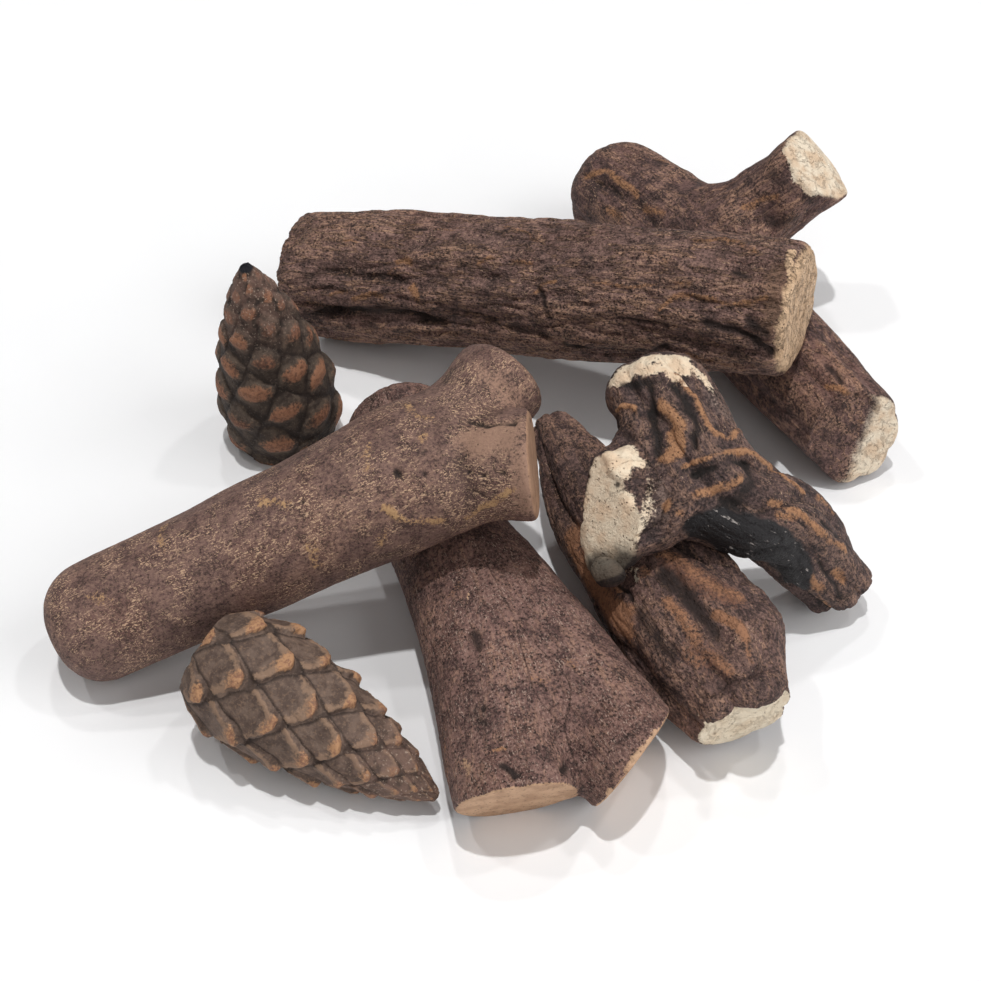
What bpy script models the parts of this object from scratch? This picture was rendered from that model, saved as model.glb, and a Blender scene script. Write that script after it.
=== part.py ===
"""A ceramic gas log set: six cast logs and two pine cones, stacked by hand as a small fire.

Every piece is one solid casting. Lengths are in metres, angles in degrees, and +Z is up.
The set stands on the floor plane, seen from the front along +Y.
"""

import math

import bmesh
import bpy
import numpy as np
from mathutils import Matrix, Vector
from mathutils.bvhtree import BVHTree

# Clearances of the whole set
seat_gap = 0.0003
side_gap = 0.0005
weld_distance = 0.00001
hair = 0.00007
reach = 0.06
nearing = 0.012
lift_step = 0.006

# Finish of every cast limb
cut_edge = 0.0016
foot_flat = 0.0022
dome_share = 0.7
dent_share = 0.022
stub_girth_shares = (0.72, 0.98, 1.00, 1.00)
square_cuts = ((0, 0), (0, 0))

# Rear log: long, straight and deeply fissured
rear_log_length = 0.257
rear_log_diameter = 0.067
rear_log_fissure = 0.0032
rear_log_across = -0.093
rear_log_back = 0.128
rear_log_yaw = -21.6
rear_log_path_shares = ((0, 0, 0), (0.3, 0.012, 0), (0.7, 0.004, 0.006), (1, 0, 0))
rear_log_girth_shares = (0.96, 1.00, 1.00, 1.02, 1.00, 0.97)
rear_log_oval_shares = (0.95, 0.95)
rear_log_slopes = ((10, 0), (6, 0))

# Rear forked log: carries the rear log
rear_forked_length = 0.240
rear_forked_diameter = 0.057
rear_forked_stub_length = 0.080
rear_forked_stub_diameter = 0.041
rear_forked_furrow = 0.0028
rear_forked_across = 0.056
rear_forked_back = 0.217
rear_forked_yaw = -61.3
rear_forked_path_shares = ((0, 0, 0), (0.3, 0.04, 0), (0.65, 0.015, 0), (1, 0, 0))
rear_forked_girth_shares = (0.92, 1.04, 1.02, 0.91, 0.84)
rear_forked_stub_root_share = 0.37
rear_forked_stub_yaw = 70.0
rear_forked_stub_pitch = 42.0
rear_forked_slopes = ((0, 0), (-10, 0))
rear_forked_stub_girth_shares = (1.15, 1.20, 1.02, 1.00, 1.00)

# Left forked log: smooth, leans on the front forked log
left_forked_length = 0.174
left_forked_diameter = 0.054
left_forked_upper_length = 0.056
left_forked_upper_diameter = 0.042
left_forked_lower_length = 0.048
left_forked_lower_diameter = 0.047
left_forked_across = 0.0192
left_forked_forward = 0.0975
left_forked_yaw = 16.0
left_forked_upper_yaw = 34.0
left_forked_lower_yaw = -32.0
left_forked_path_shares = ((-1, 0, 0), (-0.6, 0, 0), (-0.25, 0, 0), (0.12, 0, 0))
left_forked_girth_shares = (0.95, 0.97, 1.00, 1.06, 1.20, 1.22)
left_forked_oval_shares = (1.0, 1.0, 1.0, 0.95, 0.85)
left_forked_lower_slopes = ((0, 0), (12, -15))

# Front forked log: lies on the floor, two limbs that part towards the front
front_forked_length = 0.236
front_forked_diameter = 0.052
front_forked_right_length = 0.173
front_forked_right_diameter = 0.049
front_forked_web_length = 0.161
front_forked_web_diameter = 0.050
front_forked_across = -0.0452
front_forked_back = 0.0315
front_forked_yaw = -76.5
front_forked_right_yaw = 16.9
front_forked_path_shares = ((0, 0, 0), (0.3, 0.012, 0), (0.62, 0.02, 0), (1, 0, 0))
front_forked_girth_shares = (1.08, 1.00, 0.95, 0.95, 0.96)
front_forked_right_girth_shares = (0.70, 1.00, 1.02, 1.00)
front_forked_web_girth_shares = (0.60, 0.86, 1.06, 1.24)
front_forked_web_oval_shares = (0.95, 0.86, 0.72)
front_forked_root_share = 0.26
front_forked_slopes = ((0, 0), (26, 0))
front_forked_right_slopes = ((0, 0), (26, -28))

# Middle log: gnarled, widens to its front end
middle_log_length = 0.188
middle_log_diameter = 0.061
middle_log_knuckle_length = 0.040
middle_log_knuckle_diameter = 0.046
middle_log_furrow = 0.0040
middle_log_across = 0.028
middle_log_back = 0.0097
middle_log_yaw = -66.3
middle_log_path_shares = ((0, 0, 0.02), (0.3, -0.01, 0), (0.65, 0.01, 0), (1, 0, -0.01))
middle_log_girth_shares = (0.36, 0.60, 0.78, 0.92, 1.02, 0.99, 0.64)
middle_log_knuckle_share = 0.70
middle_log_knuckle_yaw = 36.0
middle_log_slopes = ((0, 0), (20, 0))

# Right forked log: three twisted arms, stands over the middle log
right_forked_diameter = 0.040
right_forked_back_arm = 0.067
right_forked_leg = 0.092
right_forked_front_arm = 0.055
right_forked_front_arm_diameter = 0.031
right_forked_nub_length = 0.052
right_forked_nub_diameter = 0.023
right_forked_lobe_length = 0.044
right_forked_lobe_diameter = 0.024
right_forked_furrow = 0.0040
right_forked_across = 0.1251
right_forked_forward = 0.0797
right_forked_yaw = 0.0
right_forked_back_shares = ((0.21, -0.40, -0.20), (0.40, -0.78, -0.36))
right_forked_leg_shares = ((-0.29, -0.02, 0.45), (-0.63, -0.07, 0.76))
right_forked_girth_shares = (0.84, 0.98, 1.06, 1.10, 1.10, 1.12)
right_forked_front_yaw = 203.0
right_forked_front_pitch = -8.0
right_forked_nub_yaw = 182.0
right_forked_nub_pitch = 10.0
right_forked_lobe_yaw = 156.0
right_forked_lobe_pitch = 14.0
right_forked_slopes = ((0, 0), (-14, 0))
right_forked_front_slopes = ((0, 0), (-20, 0))

# Pine cones: scales on 5 and 8 crossing spirals
cone_lip = 0.0042
cone_spirals = (5, 8)
cone_scales = 62
cone_lean = 7.5
cone_lean_way = -138.0
scale_step_shares = (0, 0.40, 0.85)
scale_rise_shares = (0, 0.6, 1.0)
cone_crowding = 1.5
cone_top_share = 0.96
lip_mean_share = 0.5
cone_profile_shares = (
    (0.00, 0.72), (0.06, 0.90), (0.18, 1.00), (0.34, 0.98), (0.52, 0.83),
    (0.70, 0.62), (0.84, 0.41), (0.94, 0.21), (1.00, 0.06),
)
standing_cone_length = 0.113
standing_cone_diameter = 0.0565
standing_cone_across = -0.098
standing_cone_back = 0.042
lying_cone_length = 0.112
lying_cone_diameter = 0.0550
lying_cone_across = -0.116
lying_cone_back = -0.1334
lying_cone_yaw = -29.0


def clear_scene():
    """Empties the file's scene."""
    for item in list(bpy.data.objects):
        bpy.data.objects.remove(item, do_unlink=True)


def finish(name, colour, roughness):
    """A dull painted ceramic in one colour."""
    paint = bpy.data.materials.new(name)
    paint.use_nodes = True
    shader = paint.node_tree.nodes["Principled BSDF"]
    shader.inputs["Base Color"].default_value = (*colour, 1)
    shader.inputs["Roughness"].default_value = roughness
    shader.inputs["Metallic"].default_value = 0
    return paint


def heading(yaw, pitch=0.0):
    """The unit direction that leaves the +X axis by a yaw to the left and a pitch upwards."""
    turn, rise = math.radians(yaw), math.radians(pitch)
    return np.array([math.cos(turn) * math.cos(rise), math.sin(turn) * math.cos(rise), math.sin(rise)])


def smooth_path(points, steps_per_span=16):
    """Many places on a Catmull-Rom curve that passes through the points."""
    points = np.array(points, float)
    before, after = 2 * points[0] - points[1], 2 * points[-1] - points[-2]
    knots = np.vstack([before, points, after])
    step = np.linspace(0, 1, steps_per_span, endpoint=False)[:, None]
    spans = []
    for p0, p1, p2, p3 in zip(knots, knots[1:], knots[2:], knots[3:]):
        spans.append(
            0.5 * (2 * p1 + (p2 - p0) * step + (2 * p0 - 5 * p1 + 4 * p2 - p3) * step**2
                   + (3 * p1 - p0 - 3 * p2 + p3) * step**3)
        )
    return np.vstack([*spans, points[-1:]])


def at_lengths(curve, lengths):
    """The places at these lengths along a curve, and the whole curve's length."""
    travelled = np.append(0, np.cumsum(np.linalg.norm(np.diff(curve, axis=0), axis=1)))
    places = np.column_stack([np.interp(lengths, travelled, curve[:, axis]) for axis in range(3)])
    return places, travelled[-1]


def carried_frames(places):
    """Tangent, side and upper directions at each place, carried along without twisting."""
    tangents = np.gradient(places, axis=0)
    tangents /= np.linalg.norm(tangents, axis=1)[:, None]
    upper = np.array([0, 0, 1.0]) if abs(tangents[0, 2]) < 0.95 else np.array([0, 1.0, 0])
    sides, uppers = [], []
    for tangent in tangents:
        upper = upper - tangent * (upper @ tangent)
        upper = upper / np.linalg.norm(upper)
        sides.append(np.cross(upper, tangent))
        uppers.append(upper)
    return tangents, np.array(sides), np.array(uppers)


def end_steps(kind, radius):
    """How far each ring of an end lies from its tip, and its share of the full radius there."""
    if kind == "round":
        turns = np.radians([18, 42, 66, 90])
        return radius * dome_share * (1 - np.cos(turns)), np.sin(turns)
    return np.array([0, cut_edge]), np.array([1 - cut_edge / radius, 1])


def furrows(count, depth, twist_share=0.0, wander_share=0.0, phase=0.0):
    """Long valleys in the bark: their depth at a share of the limb's length and an angle round it."""

    def depth_at(share, angle):
        sway = np.sin(math.tau * (1.3 * share + phase)) + 0.6 * np.sin(math.tau * (2.9 * share) + 3 * phase)
        turned = angle + math.tau * twist_share * share + wander_share * sway + phase
        valley = 1 - np.abs(np.sin(count * turned / 2)) ** 0.8
        strength = 0.7 + 0.3 * np.sin(2 * angle + 9 * share + phase)
        swell = 0.35 * np.sin(2 * angle + 11 * share + 2 * phase) * np.sin(7 * share + phase)
        return depth * (valley * strength + swell)

    return depth_at


def limb(points, girth_shares, diameter, sides, rings, relief, ends=("cut", "cut"), slopes=square_cuts,
         ovals=(1, 1)):
    """The rings of one limb: a tapered tube along a curve, with furrowed sides and shaped ends."""
    curve = smooth_path(points)
    length = at_lengths(curve, [0])[1]
    first, first_share = end_steps(ends[0], diameter * girth_shares[0] / 2)
    last, last_share = end_steps(ends[1], diameter * girth_shares[-1] / 2)
    middle = np.linspace(first[-1], length - last[-1], rings)[1:-1]
    lengths = np.concatenate([first, middle, (length - last)[::-1]])
    narrowing = np.concatenate([first_share, np.ones(len(middle)), last_share[::-1]])
    places, _ = at_lengths(curve, lengths)
    tangents, across, upper = carried_frames(places)
    share = lengths / length
    girth = diameter * np.interp(share, np.linspace(0, 1, len(girth_shares)), girth_shares)
    angle = np.linspace(0, math.tau, sides, endpoint=False)
    radius = girth[:, None] / 2 - relief(share[:, None], angle[None, :])
    radius = radius * narrowing[:, None]
    out = radius * np.cos(angle)
    flattened = np.interp(share, np.linspace(0, 1, len(ovals)), ovals)
    rise = radius * np.sin(angle) * flattened[:, None]
    shift = np.zeros_like(rise)
    for way, (tilt, skew), distance in ((-1, slopes[0], lengths), (1, slopes[1], length - lengths)):
        nearness = np.clip(1 - distance / diameter, 0, 1)[:, None]
        shift += way * nearness * (math.tan(math.radians(tilt)) * rise + math.tan(math.radians(skew)) * out)
    return (
        places[:, None, :]
        + out[:, :, None] * across[:, None, :]
        + rise[:, :, None] * upper[:, None, :]
        + shift[:, :, None] * tangents[:, None, :]
    )


def skin(name, rings):
    """One closed body over the rings, with a flat face at each end."""
    stations, sides = rings.shape[:2]
    bm = bmesh.new()
    rows = [[bm.verts.new(place) for place in ring] for ring in rings]
    for low, high in zip(rows, rows[1:]):
        for k in range(sides):
            nearby = (k + 1) % sides
            bm.faces.new((low[k], low[nearby], high[nearby], high[k]))
    bm.faces.new(rows[0][::-1])
    bm.faces.new(rows[-1])
    bmesh.ops.recalc_face_normals(bm, faces=bm.faces)
    mesh = bpy.data.meshes.new(name)
    bm.to_mesh(mesh)
    bm.free()
    piece = bpy.data.objects.new(name, mesh)
    bpy.context.scene.collection.objects.link(piece)
    return piece


def united(piece, branches):
    """The mesh of a piece joined to its branches, with stray points merged, and whether it is closed."""
    for branch in branches:
        union = piece.modifiers.new(branch.name, "BOOLEAN")
        union.operation = "UNION"
        union.solver = "EXACT"
        union.use_self = True
        union.object = branch
    bpy.context.view_layer.update()
    evaluated = piece.evaluated_get(bpy.context.evaluated_depsgraph_get())
    solid = bpy.data.meshes.new_from_object(evaluated)
    piece.modifiers.clear()
    bm = bmesh.new()
    bm.from_mesh(solid)
    bmesh.ops.remove_doubles(bm, verts=bm.verts, dist=weld_distance)
    closed = len(bm.faces) > 0 and all(edge.is_manifold for edge in bm.edges)
    bm.to_mesh(solid)
    bm.free()
    return solid, closed


def grown_together(piece, branches):
    """Joins branches to a trunk as one solid, as they are cast, a hair aside where faces nearly coincide."""
    for branch in branches:
        branch.hide_render = True
        branch.display_type = "WIRE"
    for hairs in range(5):
        for branch in branches:
            branch.location.z = hairs * hair
        solid, closed = united(piece, branches)
        if closed:
            break
    piece.data = solid
    for branch in branches:
        bpy.data.objects.remove(branch, do_unlink=True)
    return piece


def reshape(piece, change):
    """Runs a change on the piece's mesh."""
    bm = bmesh.new()
    bm.from_mesh(piece.data)
    change(bm)
    bm.to_mesh(piece.data)
    bm.free()


def ground_flat(piece, level):
    """Cuts away what lies below a level of the piece's own frame, and closes the cut."""

    def cut(bm):
        everything = bm.verts[:] + bm.edges[:] + bm.faces[:]
        bmesh.ops.bisect_plane(
            bm, geom=everything, plane_co=(0, 0, level), plane_no=(0, 0, -1), clear_outer=True,
            dist=weld_distance,
        )
        rim = [edge for edge in bm.edges if edge.is_boundary]
        bmesh.ops.holes_fill(bm, edges=rim)
        bmesh.ops.recalc_face_normals(bm, faces=bm.faces)

    reshape(piece, cut)


def tidy(piece, paint):
    """Merges stray points, shades the piece and gives it its finish."""
    reshape(piece, lambda bm: bmesh.ops.remove_doubles(bm, verts=bm.verts, dist=weld_distance))
    piece.data.shade_smooth()
    piece.data.set_sharp_from_angle(angle=math.radians(40))
    piece.data.materials.clear()
    piece.data.materials.append(paint)
    return piece


def corners_of(piece):
    """The piece's points in the set's frame, and its faces."""
    mesh = piece.data
    points = np.empty(len(mesh.vertices) * 3)
    mesh.vertices.foreach_get("co", points)
    turn = np.array(piece.rotation_euler.to_matrix())
    faces = [tuple(face.vertices) for face in mesh.polygons]
    return points.reshape(-1, 3) @ turn.T + np.array(piece.location), faces


def meets(piece, others, shift=(0, 0, 0)):
    """Whether the piece, moved by a shift, cuts into any of the others."""
    points, faces = corners_of(piece)
    own = BVHTree.FromPolygons((points + np.array(shift)).tolist(), faces)
    for other in others:
        places, sides = corners_of(other)
        if own.overlap(BVHTree.FromPolygons(places.tolist(), sides)):
            return True
    return False


def halved(low, high, too_low, rounds=26):
    """The value between two ends at which a test stops holding."""
    for _ in range(rounds):
        value = (low + high) / 2
        if too_low(value):
            low = value
        else:
            high = value
    return high


def drop(piece):
    """Lowers or raises the piece until it stands on the floor."""
    piece.location.z -= corners_of(piece)[0][:, 2].min()


def stand(piece, across, back, yaw, pitch=0.0):
    """Places the piece's origin over a point of the floor, turned and tipped, and drops it."""
    piece.rotation_euler = (0, -math.radians(pitch), math.radians(yaw))
    piece.location = (across, back, 0)
    drop(piece)


def lean(piece, supports, across, back, yaw, pitches):
    """Tips the piece up, one end on the floor, until it lies on its supports."""

    def sinks_in(pitch):
        stand(piece, across, back, yaw, pitch)
        return meets(piece, supports, (0, 0, -seat_gap))

    stand(piece, across, back, yaw, halved(*pitches, sinks_in))


def nestle(piece, neighbours, direction, pull=0.0):
    """Moves the piece along a direction until only the side gap parts it from its neighbours.

    The gap is kept while the piece is lifted off too. A neighbour farther off than the pull is left alone.
    """
    way = np.array(direction, float)
    lifts = lift_step * np.arange(4)

    def crowded(far):
        return any(meets(piece, neighbours, way * (far - side_gap) + np.array([0, 0, lift])) for lift in lifts)

    if crowded(-pull):
        piece.location += Vector(way * halved(-pull, reach, crowded))


def build_rear_log():
    """The long log: a slightly bowed trunk with a blunt cut at both ends."""
    points = rear_log_length * np.array(rear_log_path_shares)
    rings = limb(
        points, rear_log_girth_shares, rear_log_diameter, 36, 26,
        furrows(9, rear_log_fissure, wander_share=0.10, phase=0.4), slopes=rear_log_slopes,
        ovals=rear_log_oval_shares,
    )
    return tidy(skin("rear_log", rings), finish("fissured_bark", (0.085, 0.058, 0.052), 0.85))


def build_rear_forked_log():
    """The log under the rear log: a trunk along the floor, a raised stub and a blunt knob."""
    points = rear_forked_length * np.array(rear_forked_path_shares)
    trunk = skin("rear_forked_log", limb(
        points, rear_forked_girth_shares, rear_forked_diameter, 28, 20,
        furrows(7, rear_forked_furrow, twist_share=0.05, wander_share=0.12, phase=1.1), ends=("round", "cut"),
        slopes=rear_forked_slopes,
    ))
    root, _ = at_lengths(smooth_path(points), [rear_forked_length * rear_forked_stub_root_share])
    way = heading(rear_forked_stub_yaw, rear_forked_stub_pitch)
    stub = skin("stub", limb(
        [root[0], root[0] + way * rear_forked_stub_length], rear_forked_stub_girth_shares,
        rear_forked_stub_diameter, 22, 12,
        furrows(5, rear_forked_furrow, twist_share=0.1, wander_share=0.1, phase=2.2),
    ))
    grown_together(trunk, [stub])
    ground_flat(trunk, foot_flat - rear_forked_diameter / 2)
    return tidy(trunk, finish("furrowed_bark", (0.090, 0.062, 0.055), 0.85))


def build_left_forked_log():
    """The smooth log on the left: its origin is at the fork, its trunk runs back along -X."""
    points = left_forked_length * np.array(left_forked_path_shares)
    dents = furrows(3, left_forked_diameter * dent_share, twist_share=0.05, wander_share=0.2, phase=0.7)
    trunk = skin("left_forked_log", limb(
        points, left_forked_girth_shares, left_forked_diameter, 28, 18, dents, ends=("round", "round"),
        ovals=left_forked_oval_shares,
    ))
    branches = []
    for name, size, diameter, yaw, slopes in (
        ("upper", left_forked_upper_length, left_forked_upper_diameter, left_forked_upper_yaw, square_cuts),
        ("lower", left_forked_lower_length, left_forked_lower_diameter, left_forked_lower_yaw,
         left_forked_lower_slopes),
    ):
        branches.append(skin(name, limb(
            [np.zeros(3), heading(yaw) * size], stub_girth_shares, diameter, 24, 9, dents, slopes=slopes,
        )))
    grown_together(trunk, branches)
    return tidy(trunk, finish("smooth_bark", (0.130, 0.085, 0.068), 0.8))


def build_front_forked_log():
    """The log on the floor in front: two limbs that part from one thick back end, webbed between."""
    points = front_forked_length * np.array(front_forked_path_shares)
    dents = furrows(4, front_forked_diameter * dent_share, twist_share=0.05, wander_share=0.2, phase=2.7)
    trunk = skin("front_forked_log", limb(
        points, front_forked_girth_shares, front_forked_diameter, 26, 18, dents, ends=("round", "cut"),
        slopes=front_forked_slopes,
    ))
    root = points[-1] * front_forked_root_share
    right = skin("right", limb(
        [root, root + heading(front_forked_right_yaw) * front_forked_right_length],
        front_forked_right_girth_shares, front_forked_right_diameter, 26, 16, dents,
        slopes=front_forked_right_slopes,
    ))
    web = skin("web", limb(
        [root, root + heading(front_forked_right_yaw / 2) * front_forked_web_length],
        front_forked_web_girth_shares, front_forked_web_diameter, 22, 12, dents, ends=("cut", "round"),
        ovals=front_forked_web_oval_shares,
    ))
    grown_together(trunk, [right, web])
    ground_flat(trunk, foot_flat - front_forked_right_diameter / 2)
    return tidy(trunk, finish("fibrous_bark", (0.105, 0.070, 0.060), 0.85))


def build_middle_log():
    """The gnarled log: narrow at the back, wide at the front, with a knuckle on its right."""
    points = middle_log_length * np.array(middle_log_path_shares)
    ridges = furrows(6, middle_log_furrow, twist_share=0.16, wander_share=0.15, phase=0.2)
    trunk = skin("middle_log", limb(
        points, middle_log_girth_shares, middle_log_diameter, 30, 20, ridges, slopes=middle_log_slopes,
    ))
    root = middle_log_length * np.array([middle_log_knuckle_share, 0, 0])
    way = heading(middle_log_knuckle_yaw)
    knuckle = skin("knuckle", limb(
        [root, root + way * middle_log_knuckle_length], stub_girth_shares, middle_log_knuckle_diameter, 20, 8,
        ridges, ends=("cut", "round"),
    ))
    grown_together(trunk, [knuckle])
    ground_flat(trunk, foot_flat - middle_log_diameter / 2)
    return tidy(trunk, finish("ridged_bark", (0.100, 0.060, 0.045), 0.85))


def build_right_forked_log():
    """The twisted log with arms and knobs: its origin is at the foot of the leg, its arms in the air."""
    ridges = furrows(6, right_forked_furrow, twist_share=0.30, wander_share=0.2, phase=1.4)
    leg = right_forked_leg * np.array(right_forked_leg_shares)
    hub = leg[-1]
    back = hub - right_forked_back_arm * np.array(right_forked_back_shares)
    trunk = skin("right_forked_log", limb(
        [(0, 0, 0), *leg, *back], right_forked_girth_shares, right_forked_diameter, 28, 20, ridges,
        ends=("cut", "round"), slopes=right_forked_slopes,
    ))
    way = heading(right_forked_front_yaw, right_forked_front_pitch)
    arm = skin("arm", limb(
        [hub, hub + way * right_forked_front_arm], stub_girth_shares, right_forked_front_arm_diameter, 22, 9,
        ridges, slopes=right_forked_front_slopes,
    ))
    branches = [arm]
    for name, size, diameter, yaw, pitch in (
        ("nub", right_forked_nub_length, right_forked_nub_diameter, right_forked_nub_yaw, right_forked_nub_pitch),
        ("lobe", right_forked_lobe_length, right_forked_lobe_diameter, right_forked_lobe_yaw,
         right_forked_lobe_pitch),
    ):
        branches.append(skin(name, limb(
            [hub, hub + heading(yaw, pitch) * size], stub_girth_shares, diameter, 16, 8, ridges,
            ends=("cut", "round"),
        )))
    grown_together(trunk, branches)
    return tidy(trunk, finish("sooty_bark", (0.080, 0.050, 0.040), 0.85))


def cone_body(length, diameter):
    """A pine cone's points and faces, its scales on two crossing families of spirals.

    A point is numbered by its steps along both spirals. Each scale climbs slowly from its low corner
    to its lip and drops steeply beyond it, so that every scale overlaps the next ones.
    """
    few, many = cone_spirals
    golden = 1 - (math.sqrt(5) - 1) / 2
    step_turns = [number * golden - round(number * golden) for number in cone_spirals]
    heights, widths = zip(*cone_profile_shares)
    parts = len(scale_step_shares)
    points, faces, numbers = [], [], {}

    def corner(a, b):
        whole, a = divmod(a, many * parts)
        b += whole * few * parts
        if (a, b) not in numbers:
            u, v = (index // parts + scale_step_shares[index % parts] for index in (a, b))
            climb = (few * u + many * v) / cone_scales
            held = min(max(climb, 0), cone_top_share)
            along = 1 - (1 - held) ** cone_crowding
            lift = scale_rise_shares[a % parts] * scale_rise_shares[b % parts] * (held == climb)
            radius = diameter / 2 * np.interp(along, heights, widths)
            radius += cone_lip * (lift - lip_mean_share) * math.sqrt(radius / diameter)
            turn = math.tau * (u * step_turns[0] + v * step_turns[1])
            numbers[a, b] = len(points)
            points.append((radius * math.cos(turn), radius * math.sin(turn), length * along))
        return numbers[a, b]

    def climb_of(a, b):
        u, v = (index // parts + scale_step_shares[index % parts] for index in (a, b))
        return (few * u + many * v) / cone_scales

    for a in range(many * parts):
        for b in range(-few * parts * 2, cone_scales):
            if climb_of(a + 1, b + 1) > 0 and climb_of(a, b) < cone_top_share:
                faces.append([corner(a, b), corner(a + 1, b), corner(a + 1, b + 1), corner(a, b + 1)])
    return points, faces


def build_cone(name, length, diameter, lean_angle=0.0):
    """One cone, its origin in the middle of its base and its tip up; a lean grinds the base aslant."""
    points, faces = cone_body(length, diameter)
    mesh = bpy.data.meshes.new(name)
    mesh.from_pydata(points, [], faces)
    cone = bpy.data.objects.new(name, mesh)
    bpy.context.scene.collection.objects.link(cone)

    def close(bm):
        bmesh.ops.holes_fill(bm, edges=[edge for edge in bm.edges if edge.is_boundary])
        bmesh.ops.recalc_face_normals(bm, faces=bm.faces)

    reshape(cone, close)
    if lean_angle:
        axis = heading(cone_lean_way + 90)
        mesh.transform(Matrix.Rotation(math.radians(lean_angle), 4, Vector(axis)))
        ground_flat(cone, diameter / 2 * math.sin(math.radians(lean_angle)))
    return tidy(cone, finish(name + "_scales", (0.095, 0.066, 0.045), 0.8))


def lay_down(cone, across, back, yaw):
    """Lays the cone on its side, its widest scales and its tip both on the floor."""
    heights = [vertex.co.z for vertex in cone.data.vertices]

    def tip_is_up(nod):
        stand(cone, across, back, yaw, -90 - nod)
        lowest = corners_of(cone)[0][:, 2].argmin()
        return heights[lowest] < max(heights) / 2

    stand(cone, across, back, yaw, -90 - halved(0, 45, tip_is_up))


def centre_on_origin(pieces):
    """Hangs the pieces on one empty and centres the set over the origin."""
    corners = np.vstack([corners_of(piece)[0] for piece in pieces])
    centre = (corners.min(axis=0) + corners.max(axis=0)) / 2
    log_set = bpy.data.objects.new("log_set", None)
    bpy.context.scene.collection.objects.link(log_set)
    log_set.location = (-centre[0], -centre[1], -corners[:, 2].min())
    for piece in pieces:
        piece.parent = log_set


def main():
    clear_scene()
    rear_forked = build_rear_forked_log()
    stand(rear_forked, rear_forked_across, rear_forked_back, rear_forked_yaw)
    rear = build_rear_log()
    lean(rear, [rear_forked], rear_log_across, rear_log_back, rear_log_yaw, (0, 45))

    front = build_front_forked_log()
    stand(front, front_forked_across, front_forked_back, front_forked_yaw)
    left = build_left_forked_log()
    lean(left, [front], front_forked_across + left_forked_across, front_forked_back - left_forked_forward,
         left_forked_yaw, (0, 60))

    middle = build_middle_log()
    stand(middle, middle_log_across, middle_log_back, middle_log_yaw)
    nestle(middle, [front], (1, 0, 0), nearing)
    right = build_right_forked_log()
    lean(right, [middle], middle.location.x + right_forked_across, middle.location.y - right_forked_forward,
         right_forked_yaw, (20, -20))

    standing = build_cone("standing_cone", standing_cone_length, standing_cone_diameter, cone_lean)
    stand(standing, standing_cone_across, standing_cone_back, 0)
    nestle(standing, [front, left], (-1, 0, 0))
    lying = build_cone("lying_cone", lying_cone_length, lying_cone_diameter)
    lay_down(lying, lying_cone_across, lying_cone_back, lying_cone_yaw)
    nestle(lying, [left], (0, -1, 0), nearing)
    nestle(lying, [front], (-1, 0, 0))

    centre_on_origin([rear_forked, rear, front, left, middle, right, standing, lying])


main()
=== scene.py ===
import math
import bmesh
import bpy
import numpy as np
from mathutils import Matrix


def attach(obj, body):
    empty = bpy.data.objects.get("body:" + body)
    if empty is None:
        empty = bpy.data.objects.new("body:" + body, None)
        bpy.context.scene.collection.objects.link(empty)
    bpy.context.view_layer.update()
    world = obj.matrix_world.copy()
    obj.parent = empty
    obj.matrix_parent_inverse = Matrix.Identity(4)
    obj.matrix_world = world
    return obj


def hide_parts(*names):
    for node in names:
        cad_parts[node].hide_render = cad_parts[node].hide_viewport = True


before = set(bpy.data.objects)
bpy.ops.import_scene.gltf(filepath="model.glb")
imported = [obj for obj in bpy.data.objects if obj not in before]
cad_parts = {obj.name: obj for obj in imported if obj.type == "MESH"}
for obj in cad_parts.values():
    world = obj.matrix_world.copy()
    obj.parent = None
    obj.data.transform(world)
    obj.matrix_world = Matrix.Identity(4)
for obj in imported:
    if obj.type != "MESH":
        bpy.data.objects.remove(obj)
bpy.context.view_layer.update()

mm = 0.001
floorGap = 0.00005  # the least height of any point, in metres


# Noise

# Directions for the lattice noise, drawn once
gradients = np.random.default_rng(11).normal(size=(4096, 3))
gradients /= np.linalg.norm(gradients, axis=1)[:, None]


# Gradient noise: each of the 8 corners c of a point's lattice cell adds its own direction dotted with
# (p - c), weighted by 6t^5 - 15t^4 + 10t^3 of the place in the cell. About -1 to 1
def latticeNoise(places, seed=0):
    cell = np.floor(places)
    part = places - cell
    cell = cell.astype(np.int64)
    ease = part ** 3 * (part * (part * 6 - 15) + 10)
    total = np.zeros(len(places))
    for corner in np.ndindex(2, 2, 2):
        step = np.array(corner)
        x, y, z = (cell + step).T
        mixed = (x * 73856093) ^ (y * 19349663) ^ (z * 83492791) ^ (seed * 26544357 + 977)
        mixed = (mixed ^ (mixed >> 13)) * 1274126177
        pull = gradients[(mixed ^ (mixed >> 16)) & 4095]
        weight = np.prod(np.where(step == 1, ease, 1 - ease), axis=1)
        total += weight * ((part - step) * pull).sum(axis=1)
    return total * 1.7


# Layers of the noise added up, each twice as fine and keep times as strong as the one before
def cloud(places, layers=3, keep=0.5, seed=0):
    total, strength = 0, 1.0
    for layer in range(layers):
        total = total + strength * latticeNoise(places * 2 ** layer + 17.3 * layer, seed + layer)
        strength *= keep
    return total


# Smooth step of a value from low to high: with t its share of the way, t^2 (3 - 2t)
def eased(value, low, high):
    share = np.clip((value - low) / (high - low), 0, 1)
    return share * share * (3 - 2 * share)


# Limbs: distance fields round a curved centreline

trackStep = 0.003  # metres between samples of a centreline
extraSteps = 25  # samples of its straight run beyond each end


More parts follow.
